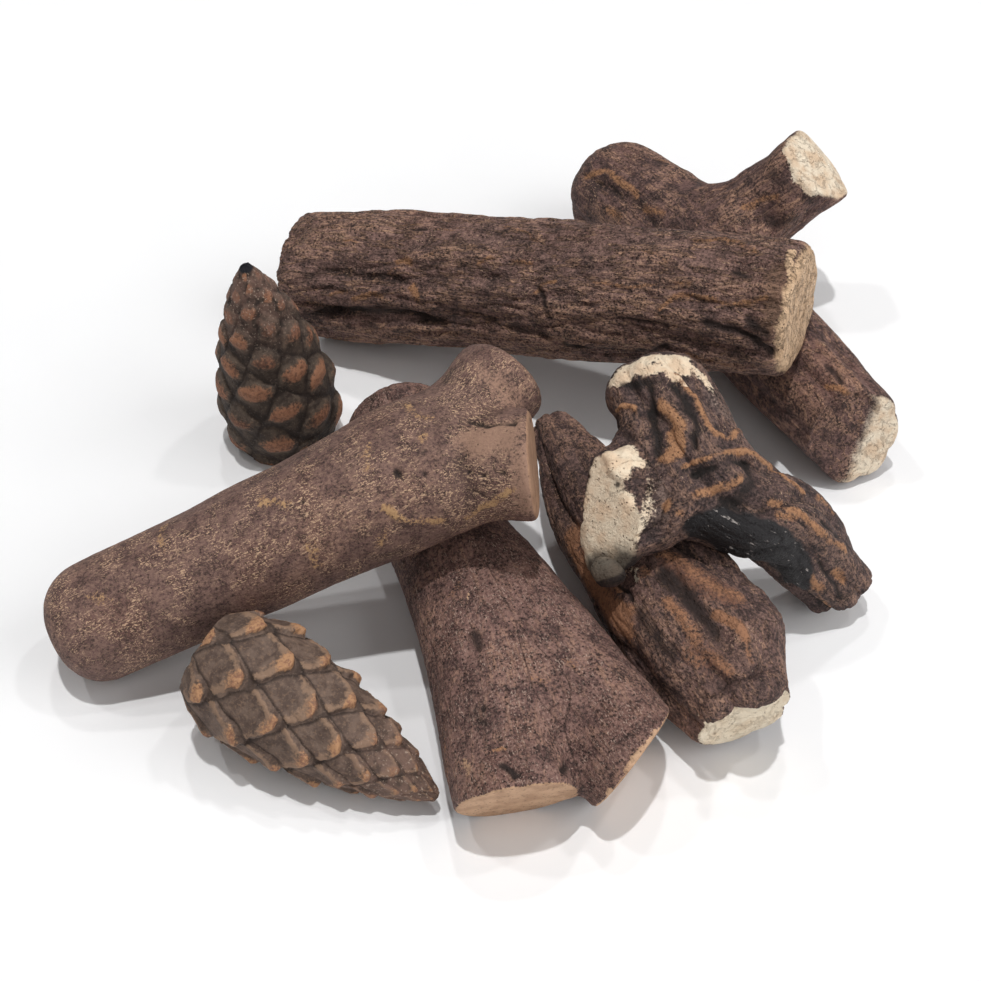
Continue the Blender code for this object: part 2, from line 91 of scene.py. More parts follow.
# Centreline: Catmull-Rom through the points, (2b + (c-a)t + (2a-5b+4c-d)t^2 + (3b-a-3c+d)t^3) / 2,
# resampled evenly and lengthened straight at both ends, with side and upper directions that are
# carried along it without twisting
def tracked(limb):
    points = np.array(limb["points"], float)
    knots = np.vstack([2 * points[0] - points[1], points, 2 * points[-1] - points[-2]])
    t = np.linspace(0, 1, 24, endpoint=False)[:, None]
    spans = [
        (2 * b + (c - a) * t + (2 * a - 5 * b + 4 * c - d) * t ** 2 + (3 * b - a - 3 * c + d) * t ** 3) / 2
        for a, b, c, d in zip(knots, knots[1:], knots[2:], knots[3:])
    ]
    line = np.vstack([*spans, points[-1:]])
    travelled = np.append(0, np.cumsum(np.linalg.norm(np.diff(line, axis=0), axis=1)))
    length = travelled[-1]
    even = np.linspace(0, length, max(int(length / trackStep), 8))
    line = np.column_stack([np.interp(even, travelled, line[:, axis]) for axis in range(3)])
    first, last = line[1] - line[0], line[-1] - line[-2]
    first, last = first / np.linalg.norm(first), last / np.linalg.norm(last)
    beyond = np.arange(1, extraSteps + 1)[:, None] * trackStep
    line = np.vstack([line[0] - first * beyond[::-1], line, line[-1] + last * beyond])
    along = np.concatenate([-beyond[::-1, 0], even, length + beyond[:, 0]])
    tangent = np.gradient(line, along, axis=0)
    tangent /= np.linalg.norm(tangent, axis=1)[:, None]
    way, uppers = np.array([0, 0, 1.0]), []
    for ahead in tangent:
        way = way - ahead * (way @ ahead)
        way = way / np.linalg.norm(way)
        uppers.append(way)
    upper = np.array(uppers)
    across = np.cross(upper, tangent)
    return {"line": line, "along": along, "tangent": tangent, "upper": upper, "across": across,
            "length": length}


# A track's line or directions at lengths along it
def carried(track, key, s):
    return np.column_stack([np.interp(s, track["along"], track[key][:, axis]) for axis in range(3)])


# A point's length along the centreline and its offsets to the side and upwards: the nearest sample first,
# then s grows twice by the offset's part along the tangent
def limbPlace(track, places):
    line = track["line"]
    far = (line ** 2).sum(axis=1)[None, :] - 2 * places @ line.T
    nearest = far.argmin(axis=1)
    s = track["along"][nearest] + ((places - line[nearest]) * track["tangent"][nearest]).sum(axis=1)
    for _ in range(2):
        s = s + ((places - carried(track, "line", s)) * carried(track, "tangent", s)).sum(axis=1)
    offset = places - carried(track, "line", s)
    side = (offset * carried(track, "across", s)).sum(axis=1)
    rise = (offset * carried(track, "upper", s)).sum(axis=1)
    return s, side, rise


# Outside both a and b with a corner of radius c: |max((a, b) + c, 0)| + min(max(a, b) + c, 0) - c
def rounded(a, b, c):
    return np.hypot(np.maximum(a + c, 0), np.maximum(b + c, 0)) + np.minimum(np.maximum(a, b) + c, 0) - c


# The lesser of a and b with a fillet of width c: min(a, b) - c/4 * max(1 - |a - b| / c, 0)^2
def softJoined(a, b, c):
    return np.minimum(a, b) - c / 4 * np.maximum(1 - np.abs(a - b) / c, 0) ** 2


# A limb's girth or ovals at a share of its length, from values that stand evenly along it
def profile(limb, key, share):
    return np.interp(share, np.linspace(0, 1, len(limb[key])), limb[key])


# Corner of a limb's end: a share of the radius where it is round, or else the limb's own
def endCorner(limb, end, radius):
    return 0.72 * radius if limb["ends"][end] == "round" else limb["corner"]


# The long valleys of a limb at a share of its length and an angle round it: with
# sway = sin(tau (1.3 share + phase)) + 0.6 sin(tau 2.9 share + 3 phase) and
# turned = angle + tau twist share + wander sway + phase, a valley is 1 - |sin(count turned / 2)|^0.8,
# its strength 0.7 + 0.3 sin(2 angle + 9 share + phase), and a slow swell of the whole limb is added
def furrowDepth(limb, share, angle):
    count, depth, twist, wander, phase = limb["furrows"]
    sway = np.sin(math.tau * (1.3 * share + phase)) + 0.6 * np.sin(math.tau * 2.9 * share + 3 * phase)
    spun = angle + math.tau * twist * share + wander * sway + phase
    valley = 1 - np.abs(np.sin(count * spun / 2)) ** 0.8
    strength = 0.7 + 0.3 * np.sin(2 * angle + 9 * share + phase)
    swell = 0.35 * np.sin(2 * angle + 11 * share + 2 * phase) * np.sin(7 * share + phase)
    return depth * (valley * strength + swell)


# Distance to one limb: its side is hypot(x, y / flat) - radius(s) + furrows, its ends are planes that may
# slope, and side and ends meet in a rounded corner. Also how far each end's plane stands outside the
# side, and the furrows' depth
def limbDistance(limb, s, x, y):
    length = limb["track"]["length"]
    share = np.clip(s / length, 0, 1)
    flat = profile(limb, "ovals", share)
    sunk = furrowDepth(limb, share, np.arctan2(y / flat, x))
    radius = limb["diameter"] / 2 * profile(limb, "girth", share) - sunk
    wide = np.maximum(np.hypot(x, y / flat), 1e-6)
    steep = np.hypot(x, y / flat ** 2) / wide
    side = (wide - radius) / np.maximum(steep, 0.5)
    distance = side
    faces = []
    for end, beyond in ((0, -s), (1, s - length)):
        tilt, skew = limb["slopes"][end]
        up, out = math.tan(math.radians(tilt)), math.tan(math.radians(skew))
        plane = (beyond - up * y - out * x) / math.hypot(1, up, out)
        faces.append(plane - side)
        distance = rounded(distance, plane, endCorner(limb, end, radius))
    return distance, faces, sunk


# A limb's starting skin: centreline + radius * (cos a * across + sin a * flat * upper), where an end of
# corner c lies at c (1 - cos b) and is c (1 - sin b) narrower, closed by a ring of no width, and its slope
# pushes it by tan(tilt) * rise + tan(skew) * out
def limbShell(limb):
    track, diameter = limb["track"], limb["diameter"]
    length = track["length"]
    rings, columns = 60, 72
    b = np.radians([0, 15, 30, 45, 60, 75, 90])
    far, less = [], []
    for end in (0, -1):
        radius = diameter / 2 * limb["girth"][end]
        corner = endCorner(limb, end, radius)
        far.append(np.append(0, corner * (1 - np.cos(b))))
        less.append(np.append(radius, corner * (1 - np.sin(b))))
    middle = np.linspace(far[0][-1], length - far[1][-1], rings)[1:-1]
    s = np.concatenate([far[0], middle, (length - far[1])[::-1]])
    narrower = np.concatenate([less[0], np.zeros(len(middle)), less[1][::-1]])
    share = np.clip(s / length, 0, 1)
    angle = np.linspace(0, math.tau, columns, endpoint=False)
    radius = (diameter / 2 * profile(limb, "girth", share))[:, None]
    radius = radius - furrowDepth(limb, share[:, None], angle[None, :]) - narrower[:, None]
    spread = np.ones(len(s))
    spread[[0, -1]] = 0
    radius = np.maximum(radius, 0) * spread[:, None]
    out = radius * np.cos(angle)
    rise = radius * np.sin(angle) * profile(limb, "ovals", share)[:, None]
    shift = 0
    for way, (tilt, skew), beyond in ((-1, limb["slopes"][0], s), (1, limb["slopes"][1], length - s)):
        near = np.clip(1 - beyond / diameter, 0, 1)[:, None]
        slant = math.tan(math.radians(tilt)) * rise + math.tan(math.radians(skew)) * out
        shift = shift + way * near * slant
    line, across, upper, tangent = (
        carried(track, key, s)[:, None, :] for key in ("line", "across", "upper", "tangent")
    )
    return line + out[:, :, None] * across + rise[:, :, None] * upper + shift[:, :, None] * tangent


# Faces of a grid of rows, each row a closed ring
def ringFaces(rows, columns):
    index = np.arange(rows * columns).reshape(rows, columns)
    turned = np.roll(index, -1, axis=1)
    return np.stack([index[:-1], turned[:-1], turned[1:], index[1:]], axis=-1).reshape(-1, 4)


# Meshes

# Normals of a quad mesh: the sum of the cross products of the diagonals round each point, made unit long
def vertexNormals(verts, quads):
    corners = verts[quads]
    facing = np.cross(corners[:, 2] - corners[:, 0], corners[:, 3] - corners[:, 1])
    normals = np.column_stack([
        sum(np.bincount(quads[:, k], weights=facing[:, axis], minlength=len(verts)) for k in range(4))
        for axis in range(3)
    ])
    return normals / np.maximum(np.linalg.norm(normals, axis=1), 1e-12)[:, None]


# Each point moves halfway to the mean of its neighbours, some rounds
def relaxed(verts, quads, rounds):
    pairs = np.vstack([quads[:, [k, (k + 1) % 4]] for k in range(4)])
    count = np.maximum(np.bincount(pairs[:, 0], minlength=len(verts)), 1)
    for _ in range(rounds):
        mean = np.column_stack([
            np.bincount(pairs[:, 0], weights=verts[pairs[:, 1], axis], minlength=len(verts)) / count
            for axis in range(3)
        ])
        verts = (verts + mean) / 2
    return verts


# A new object at the origin from points and faces
def newMesh(name, verts, faces):
    mesh = bpy.data.meshes.new(name)
    mesh.from_pydata(verts.tolist(), [], faces)
    piece = bpy.data.objects.new(name, mesh)
    bpy.context.scene.collection.objects.link(piece)
    return piece


# One even skin round several overlapping closed skins
def remeshed(shells, size):
    verts, faces, start = [], [], 0
    for rings in shells:
        rows, columns = rings.shape[:2]
        verts.append(rings.reshape(-1, 3))
        faces.append(ringFaces(rows, columns) + start)
        start += rows * columns
    rough = newMesh("rough", np.vstack(verts), np.vstack(faces).tolist())
    merged = bmesh.new()
    merged.from_mesh(rough.data)
    bmesh.ops.remove_doubles(merged, verts=merged.verts, dist=1e-6)
    merged.to_mesh(rough.data)
    merged.free()
    even = rough.modifiers.new("even", "REMESH")
    even.mode = "VOXEL"
    even.voxel_size = size
    evaluated = rough.evaluated_get(bpy.context.evaluated_depsgraph_get())
    skin = bpy.data.meshes.new_from_object(evaluated)
    places = np.empty(len(skin.vertices) * 3)
    skin.vertices.foreach_get("co", places)
    corners = np.empty(len(skin.loops), np.int32)
    skin.loops.foreach_get("vertex_index", corners)
    bpy.data.objects.remove(rough)
    bpy.data.meshes.remove(skin)
    return places.reshape(-1, 3), corners.reshape(-1, 4)


# Bark heights in metres, each a function of a limb's own (s, x, y): along the grain and across it

# Long wandering cracks, deepest where the noise of (s / long, x / short, y / short) passes zero:
# max(1 - |noise| / width, 0)^1.3
def cracks(grain, long, short, width, seed):
    field = latticeNoise(grain / np.array([long, short, short]), seed)
    return np.clip(1 - np.abs(field) / width, 0, 1) ** 1.3


# Grain coordinates pushed sideways by noise, p + far * noise(p / size)
def swayed(grain, far, size, seed):
    sway = np.column_stack([latticeNoise(grain / size, seed + k) for k in range(3)])
    return grain + far * sway


# 0.6 mm, less 1.6 mm in long cracks and 0.7 mm in fine ones, plus 0.6 mm of lumps and 0.22 mm of grit
def fissuredBark(grain):
    bent = swayed(grain, 0.0035, 0.022, 31)
    wide = cracks(bent, 0.060, 0.0105, 0.34, 1) * eased(latticeNoise(grain / 0.03, 5), -0.7, 0.2)
    fine = cracks(swayed(grain, 0.0012, 0.009, 41), 0.022, 0.0046, 0.42, 2)
    grit = cloud(grain / np.array([0.0052, 0.0022, 0.0022]), 2, 0.6, 3)
    lumps = latticeNoise(grain / np.array([0.040, 0.016, 0.016]), 4)
    return 0.0006 - 0.0016 * wide - 0.0007 * fine + 0.00022 * grit + 0.0006 * lumps


# 0.2 mm, less 1.0 mm in broad cracks, plus 0.6 mm of lumps and 0.18 mm of grit
def furrowedBark(grain):
    bent = swayed(grain, 0.003, 0.020, 51)
    wide = cracks(bent, 0.045, 0.0120, 0.34, 6) * eased(latticeNoise(grain / 0.026, 7), -0.3, 0.5)
    grit = cloud(grain / np.array([0.0050, 0.0022, 0.0022]), 2, 0.6, 8)
    lumps = latticeNoise(grain / np.array([0.026, 0.014, 0.014]), 9)
    return 0.0002 - 0.0010 * wide + 0.00018 * grit + 0.0006 * lumps


# 0.4 mm of lumps and 0.2 mm of fibres, less 0.4 mm in dents
def fibrousBark(grain):
    lumps = latticeNoise(grain / 0.022, 10)
    fibre = cloud(grain / np.array([0.0048, 0.0019, 0.0019]), 2, 0.6, 11)
    dents = cracks(swayed(grain, 0.002, 0.012, 61), 0.020, 0.010, 0.2, 12)
    return 0.0004 * lumps + 0.00020 * fibre - 0.0004 * dents


# 0.4 mm of lumps and 0.09 mm of grit
def smoothBark(grain):
    lumps = latticeNoise(grain / 0.026, 13)
    grit = cloud(grain / np.array([0.0040, 0.0021, 0.0021]), 2, 0.6, 14)
    return 0.0004 * lumps + 0.00009 * grit


# 0.2 mm, plus 0.6 mm of lumps and 0.2 mm of grit, less 0.7 mm in fine cracks
def ridgedBark(grain):
    lumps = latticeNoise(grain / np.array([0.024, 0.011, 0.011]), 16)
    grit = cloud(grain / np.array([0.0046, 0.0021, 0.0021]), 2, 0.6, 17)
    fine = cracks(swayed(grain, 0.0015, 0.010, 71), 0.026, 0.0060, 0.3, 18)
    return 0.0002 + 0.0006 * lumps + 0.00020 * grit - 0.0007 * fine


# Strokes: sculpted and painted lines on a finished skin, in the frame of the whole set

# Width and path in mm, then any of lift (mm) and warm, pale, soot, shade and tint (0 to 1). Shade is painted
# shade in valleys, cracks, pits and under ledges, and darkens a few blotches
def stroke(width, path, **marks):
    return {"width": width, "path": path, **marks}


# exp(-(distance to the nearest of the path's straight spans / width)^2)
def strokeShare(places, path, width):
    path, width = np.array(path, float) * mm, width * mm
    share = np.zeros(len(places))
    box = ((places > path.min(axis=0) - 3 * width) & (places < path.max(axis=0) + 3 * width)).all(axis=1)
    near = places[box]
    best = ((near - path[0]) ** 2).sum(axis=1)
    for a, b in zip(path, path[1:]):
        span = b - a
        t = np.clip((near - a) @ span / max(span @ span, 1e-12), 0, 1)
        best = np.minimum(best, ((near - a - t[:, None] * span) ** 2).sum(axis=1))
    share[box] = np.exp(-best / width ** 2)
    return share


# One log: its limbs, relief, strokes and attributes

# A turn by pitch about y, then by yaw about z
def turned(yaw, pitch):
    z, y = math.radians(yaw), math.radians(pitch)
    aroundZ = np.array([[math.cos(z), -math.sin(z), 0], [math.sin(z), math.cos(z), 0], [0, 0, 1]])
    aroundY = np.array([[math.cos(y), 0, math.sin(y)], [0, 1, 0], [-math.sin(y), 0, math.cos(y)]])
    return aroundZ @ aroundY


# Unit vector towards a yaw and a rise
def heading(yaw, pitch=0.0):
    z, y = math.radians(yaw), math.radians(pitch)
    return np.array([math.cos(z) * math.cos(y), math.sin(z) * math.cos(y), math.sin(y)])


# A limb of a log. Furrows are (count, depth, twist, wander, phase), slopes (tilt, skew) of each end, pale
# says which ends show a cut face, and start is where its grain begins
def limb(points, diameter, girth, furrows, ends=("cut", "cut"), slopes=((0, 0), (0, 0)), ovals=(1, 1),
         pale=(0, 0), start=0.0, corner=0.0022):
    made = {"points": points, "diameter": diameter, "girth": girth, "furrows": furrows, "ends": ends,
            "slopes": slopes, "ovals": ovals, "pale": pale, "start": start, "corner": corner}
    made["track"] = tracked(made)
    return made


cutCorner = 0.0012  # radius between a cut and the bark
faceReach = 0.01  # how far the cut faces' share is followed, both ways
# Rounds of relaxing, each with the farthest that points then move onto the surface
settling = ((4, 0.002), (3, 0.002), (3, 0.0012), (2, 0.0012), (2, 0.0012), (1, 0.0012), (0, 0.0012))


# A cut's place and direction in the log's own frame
def cutPlane(log, cut):
    spin = turned(*log["turn"])
    return (np.array(cut["at"]) * mm - np.array(log["place"])) @ spin, np.array(cut["facing"]) @ spin


# How far places stand beyond a cut: dot(p - at, facing) - 2 * max(|p - at| - reach, 0)
def beyondCut(places, at, facing, reach):
    off = places - at
    return off @ facing - 2 * np.maximum(np.linalg.norm(off, axis=1) - reach * mm, 0)


# Distance to the whole log: its limbs joined one after another with a fillet, then cut by its planes
def logField(log, places):
    total, found, bare = None, [], []
    for part in log["limbs"]:
        s, x, y = limbPlace(part["track"], places)
        distance, faces, sunk = limbDistance(part, s, x, y)
        found.append((distance, s, x, y, faces, sunk))
        total = distance if total is None else softJoined(total, distance, log["fillet"])
    for cut in log.get("cuts", []):
        at, facing = cutPlane(log, cut)
        beyond = beyondCut(places, at, facing, cut["reach"])
        bare.append((cut["bare"], np.clip(beyond - total, -faceReach, faceReach)))
        total = rounded(total, beyond, cutCorner)
    return total, found, bare


# Lay what stands beyond a cut onto its plane: p - max(beyond, 0) * facing
def pressed(log, verts):
    for cut in log.get("cuts", []):
        at, facing = cutPlane(log, cut)
        facing = facing / np.linalg.norm(facing)
        beyond = beyondCut(verts, at, facing, cut["reach"])
        verts = verts - np.maximum(beyond, 0)[:, None] * facing
    return verts


# The limbs' shells as one even skin, moved onto the distance field along its normals in rounds
def settledSkin(log):
    verts, quads = remeshed([limbShell(part) for part in log["limbs"]], log["voxel"])
    verts = pressed(log, verts)
    for rounds, most in settling:
        verts = relaxed(verts, quads, rounds)
        distance, _, _ = logField(log, verts)
        verts = verts - vertexNormals(verts, quads) * np.clip(distance, -most, most)[:, None]
    return verts, quads


# Grain coordinates, bark height, furrow depth and how far a point lies on a cut face. Where limbs meet,
# each counts by exp(-(its distance - the least distance) / 3 mm)
def barkLayers(log, verts):
    _, found, bare = logField(log, verts)
    closeness = np.stack([part[0] for part in found])
    weights = np.exp(-(closeness - closeness.min(axis=0)) / 0.003)
    weights /= weights.sum(axis=0)
    grain, height, sunken = np.zeros((len(verts), 3)), 0, 0
    face = np.full(len(verts), -faceReach)
    for k, (part, (_, s, x, y, faces, sunk)) in enumerate(zip(log["limbs"], found)):
        own = np.column_stack([s + part["start"], x, y])
        height = height + weights[k] * log["bark"](own + 0.37 * k)
        sunken = sunken + weights[k] * (sunk - 0.4 * part["furrows"][1])
        nearest = closeness.argmin(axis=0) == k
        grain[nearest] = own[nearest]
        for pale, beyond in zip(part["pale"], faces):
            if pale:
                cutHere = np.maximum(face, np.clip(beyond, -faceReach, faceReach))
                face = np.where(weights[k] > 0.5, cutHere, face)
    for shown, beyond in bare:
        face = np.maximum(face, beyond) if shown else np.minimum(face, -beyond)
    return grain, height, sunken, face


# The settled skin, moved along its normals by the bark's height and by each stroke's lift times its share
def buildLog(log):
    verts, quads = settledSkin(log)
    grain, height, sunken, face = barkLayers(log, verts)
    onFace = eased(face, -0.001, 0.0015)
    height = height * (1 - onFace * 0.85)
    spin = turned(*log["turn"])
    world = verts @ spin.T + np.array(log["place"])
    facing = vertexNormals(verts, quads) @ spin.T
    layers = {key: np.zeros(len(verts)) for key in ("warm", "pale", "soot", "shade", "tint")}
    crooked = world + 0.0016 * np.column_stack([latticeNoise(world / 0.008, 81 + k) for k in range(3)])
    for mark in log["strokes"]:
        share = strokeShare(crooked, mark["path"], mark["width"])
        height = height + share * mark.get("lift", 0) * mm * (1 - onFace)
        for key in layers:
            if key in mark:
                layers[key] = np.maximum(layers[key], share * mark[key])
    world = world + facing * height[:, None]
    world[:, 2] = np.maximum(world[:, 2], floorGap)
    piece = newMesh(log["name"], world, quads.tolist())
    give(piece, "grain", grain)
    give(piece, "relief", np.clip((height - sunken) / log["reliefRange"], -1, 1))
    give(piece, "face", face / mm)
    for key, values in layers.items():
        give(piece, key, values)
    dress(piece, log)


# A value or a vector for each point
def give(piece, name, values):
    values = np.asarray(values, np.float32)
    kind, key = ("FLOAT_VECTOR", "vector") if values.ndim == 2 else ("FLOAT", "value")
    layer = piece.data.attributes.new(name, kind, "POINT")
    layer.data.foreach_set(key, values.ravel())


# A piece's finish, and the body and node that it stands for
def dress(piece, own):
    piece.data.materials.append(own["finish"])
    piece.data.shade_smooth()
    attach(piece, own["node"])
    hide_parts(own["node"])
    print("built", own["name"], len(piece.data.polygons))


# Shader maths

# A socket whose operators add Math nodes
class Wire:
    def __init__(self, kit, socket):
        self.kit, self.socket = kit, socket

    def maths(self, operation, first, second):
        return self.kit.node("ShaderNodeMath", {"operation": operation}, {0: first, 1: second})

    def __add__(self, other):
        return self.maths("ADD", self, other)

    def __sub__(self, other):
        return self.maths("SUBTRACT", self, other)

    def __mul__(self, other):
        return self.maths("MULTIPLY", self, other)

    def __rsub__(self, other):
        return self.maths("SUBTRACT", other, self)

    __radd__ = __add__
    __rmul__ = __mul__

    def larger(self, other):
        return self.maths("MAXIMUM", self, other)

    def stepped(self, low, high):
        return self.kit.node(
            "ShaderNodeMapRange", {"interpolation_type": "SMOOTHSTEP"},
            {"Value": self, "From Min": low, "From Max": high, "To Min": 0.0, "To Max": 1.0},
        )


# A material with the few ways of adding nodes that its finish needs
class Kit:
    def __init__(self, name):
        self.material = bpy.data.materials.new(name)
        self.material.use_nodes = True
        self.tree = self.material.node_tree
        self.shader = self.tree.nodes["Principled BSDF"]

    def node(self, kind, settings=None, inputs=None, output=0):
        made = self.tree.nodes.new(kind)
        for key, value in (settings or {}).items():
            setattr(made, key, value)
        for key, value in (inputs or {}).items():
            if isinstance(value, Wire):
                self.tree.links.new(value.socket, made.inputs[key])
            else:
                made.inputs[key].default_value = value
        return Wire(self, made.outputs[output])

    def attribute(self, name, output="Fac"):
        return self.node("ShaderNodeAttribute", {"attribute_name": name}, output=output)

    def scaled(self, vector, sizes):
        return self.node("ShaderNodeVectorMath", {"operation": "MULTIPLY"},
                         {0: vector, 1: tuple(1 / size for size in sizes)})

    def noise(self, vector, sizes, detail=3.0, roughness=0.55):
        sizes = sizes if isinstance(sizes, tuple) else (sizes,) * 3
        return self.node("ShaderNodeTexNoise", {"noise_dimensions": "3D"},
                         {"Vector": self.scaled(vector, sizes), "Scale": 1.0, "Detail": detail,
                          "Roughness": roughness})

    def cells(self, vector, size):
        return self.node("ShaderNodeTexVoronoi", {"feature": "F1"},
                         {"Vector": self.scaled(vector, (size,) * 3), "Scale": 1.0})

    def mix(self, share, first, second):
        first, second = ((*value, 1.0) if isinstance(value, tuple) else value for value in (first, second))
        return self.node("ShaderNodeMix", {"data_type": "RGBA"}, {0: share, 6: first, 7: second}, output=2)

    def bump(self, height, distance):
        return self.node("ShaderNodeBump", None, {"Height": height, "Distance": distance, "Strength": 1.0})

    def put(self, socket, wire):
        self.tree.links.new(wire.socket, self.shader.inputs[socket])


# Finishes

# Painted bark: browns in clouds and streaks, painted shade in the recesses, tan dry-brushed on what stands
# out, fine crests and flecks along the grain, pits and pores, then the strokes' tint, warm, pale, painted
# shade and sooty places, and the bare cut faces with their ragged edge
def barkFinish(name, look):
    kit = Kit(name)
    place = kit.node("ShaderNodeTexCoord", output="Object")
    grain = kit.attribute("grain", "Vector")
    relief = kit.attribute("relief")
    fine = kit.noise(place, 0.0013, 4.0, 0.7)
    streak = kit.noise(grain, (0.0050, 0.0014, 0.0014), 4.0, 0.65)
    medium = kit.noise(place, 0.0075, 4.0, 0.6)
    broad = kit.noise(place, 0.032, 3.0, 0.55)
    speckle = fine - 0.5
    mottle = medium - 0.5

    # ground colours
    colour = kit.mix(medium.stepped(0.36, 0.64), look["dark"], look["mid"])
    colour = kit.mix(broad.stepped(0.45, 0.72) * look["rustShare"], colour, look["rust"])
    colour = kit.mix(streak.stepped(0.45, 0.70) * 0.55, colour, look["light"])
    # painted shade: the low relief of furrows and cracks is darkened towards deep
    recessShade = (mottle * 0.5 - relief).stepped(*look["recessShade"])
    colour = kit.mix(recessShade * 0.85, colour, look["deep"])
    raised = (relief + mottle * 1.3).stepped(*look["ridge"])
    brushed = raised * (fine * 0.5 + streak * 0.5).stepped(0.44, 0.60)
    colour = kit.mix(brushed * look["brush"], colour, look["tan"])
    lightSpecks = (speckle + mottle * 0.4).stepped(0.03, 0.11)
    darkSpecks = (speckle * -1.0 - mottle * 0.3).stepped(0.03, 0.10)
    colour = kit.mix(lightSpecks * look["grit"], colour, look["light"])
    colour = kit.mix(darkSpecks * look["grit"], colour, look["deep"])

    # crests where a long noise passes its middle, pits, flecks in clusters
    wave = kit.noise(grain, (0.026, 0.0065, 0.0065), 4.0, 0.55) - 0.5
    crest = 1.0 - (wave * wave).stepped(0.0002, 0.0013)
    crest = crest * (streak * 0.5 + medium * 0.5).stepped(0.42, 0.58)
    colour = kit.mix(crest * (fine.stepped(0.36, 0.56) * look["crest"]), colour, look["tan"])
    pits = kit.noise(place, 0.0028, 3.0, 0.6).stepped(0.57, 0.66) * look["pits"]
    colour = kit.mix(pits, colour, look["deep"])
    cluster = kit.noise(place, look["clusterSize"], 4.0, 0.65).stepped(*look["cluster"])
    dash = kit.noise(grain, (0.0021, 0.0007, 0.0007), 2.0, 0.6)
    across = kit.node("ShaderNodeVectorRotate", {"rotation_type": "EULER_XYZ"},
                      {"Vector": grain, "Rotation": (0.3, 0.5, 0.9)})
    slanted = kit.noise(across, (0.0019, 0.0006, 0.0006), 2.0, 0.6)
    flecks = dash.larger(slanted).stepped(*look["fleckEdge"])
    colour = kit.mix(flecks * (cluster * 0.85 + look["fleckEvery"]), colour, look["fleck"])

    # tint and warm strokes
    tint = kit.attribute("tint")
    tinted = (tint + mottle * 0.7 + speckle * 1.5).stepped(0.20, 0.80) * tint.stepped(0.02, 0.3)
    colour = kit.mix(tinted * 0.85, colour, look["tint"])
    warm = kit.attribute("warm")
    warmth = warm + mottle * look["warmCloud"] + speckle * look["warmGrain"]
    warmth = warmth.stepped(*look["warmEdge"]) * warm.stepped(0.02, 0.2)
    warmHue = (fine + (warm - 0.5) * 0.25).stepped(0.38, 0.64)
    colour = kit.mix(warmth, colour, kit.mix(warmHue, look["orangeDark"], look["orange"]))
    pores = 1.0 - kit.cells(place, 0.0021).stepped(0.10, 0.27)
    pores = pores * kit.noise(place, 0.005, 2.0).stepped(*look["porous"])
    colour = kit.mix(pores * look["pores"], colour, look["deep"])

    # pale strokes and bare faces share one cream
    creamClouds = kit.noise(place, 0.009, 4.0, 0.6).stepped(0.38, 0.66)
    creamHue = kit.mix(creamClouds, look["cream"], look["creamDark"])
    creamHue = kit.mix(pores * look["facePores"], creamHue, look["creamPore"])
    pale = kit.attribute("pale")
    paleness = (pale + mottle * 0.6 + speckle * 0.9).stepped(0.40, 0.62) * pale.stepped(0.02, 0.15)
    colour = kit.mix(paleness, colour, creamHue)
    edge = kit.attribute("face") + (speckle + mottle) * look["ragged"]
    colour = kit.mix(edge.stepped(*look["faceFade"]), colour, creamHue)

    # the shade strokes' painted shade and the soot lie over everything
    shade = kit.attribute("shade")
    colour = kit.mix((shade + speckle * 0.3).stepped(0.15, 0.85) * 0.9, colour, look["deep"])
    soot = kit.attribute("soot")
    sooted = (soot + mottle * 0.5).stepped(0.35, 0.6) * soot.stepped(0.02, 0.2)
    colour = kit.mix(sooted, colour, look["sootTone"])
    scratches = sooted * kit.noise(grain, (0.0050, 0.0010, 0.0010), 3.0, 0.6).stepped(0.64, 0.70)
    colour = kit.mix(scratches * 0.8, colour, look["scratchTone"])

    kit.put("Base Color", colour)
    kit.put("Roughness", (fine * 0.2 + look["rough"]) - sooted * 0.25)
    grit = kit.noise(place, 0.0011, 2.0, 0.6)
    tooth = streak * 0.6 + grit * 0.5 - pores * 0.5 - pits * 0.4 + crest * look["crest"]
    kit.put("Normal", kit.bump(tooth, 0.0010 * look["tooth"]))
    kit.shader.inputs["Specular IOR Level"].default_value = 0.35
    return kit.material


# The common bark. Pairs are the two ends of a smooth step, the rest are colours and strengths
barkLook = {
    "dark": (0.062, 0.035, 0.033), "mid": (0.134, 0.072, 0.065), "light": (0.222, 0.129, 0.108),
    "deep": (0.022, 0.013, 0.011), "rust": (0.156, 0.072, 0.053), "rustShare": 0.45,
    "tan": (0.504, 0.292, 0.191), "brush": 0.70, "recessShade": (0.30, 1.00), "ridge": (0.20, 0.62),
    "grit": 0.75, "crest": 0.3, "pits": 0.4, "pores": 0.6, "porous": (0.44, 0.58),
    "clusterSize": 0.016, "cluster": (0.48, 0.66), "fleckEdge": (0.62, 0.70), "fleckEvery": 0.15,
    "fleck": (0.50, 0.33, 0.22), "tint": (0.235, 0.135, 0.088),
    "orange": (0.40, 0.205, 0.105), "orangeDark": (0.17, 0.080, 0.045),
    "warmCloud": 0.7, "warmGrain": 0.9, "warmEdge": (0.28, 0.74),
    "cream": (0.74, 0.60, 0.44), "creamDark": (0.58, 0.41, 0.26), "creamPore": (0.25, 0.16, 0.11),
    "facePores": 0.5, "faceFade": (-0.2, 0.5), "ragged": 2.0,
    "sootTone": (0.012, 0.010, 0.011), "scratchTone": (0.45, 0.40, 0.37),
    "rough": 0.68, "tooth": 1.0,
}


# Each log below: place (metres) and turn (yaw and pitch) set its own frame down in the set's, voxel is
# the cell of its skin and reliefRange the height that counts as full relief. A limb has its points,
# diameter, girth along it and furrows. A cut is a plane in mm of the set's frame, bare where it shows cream

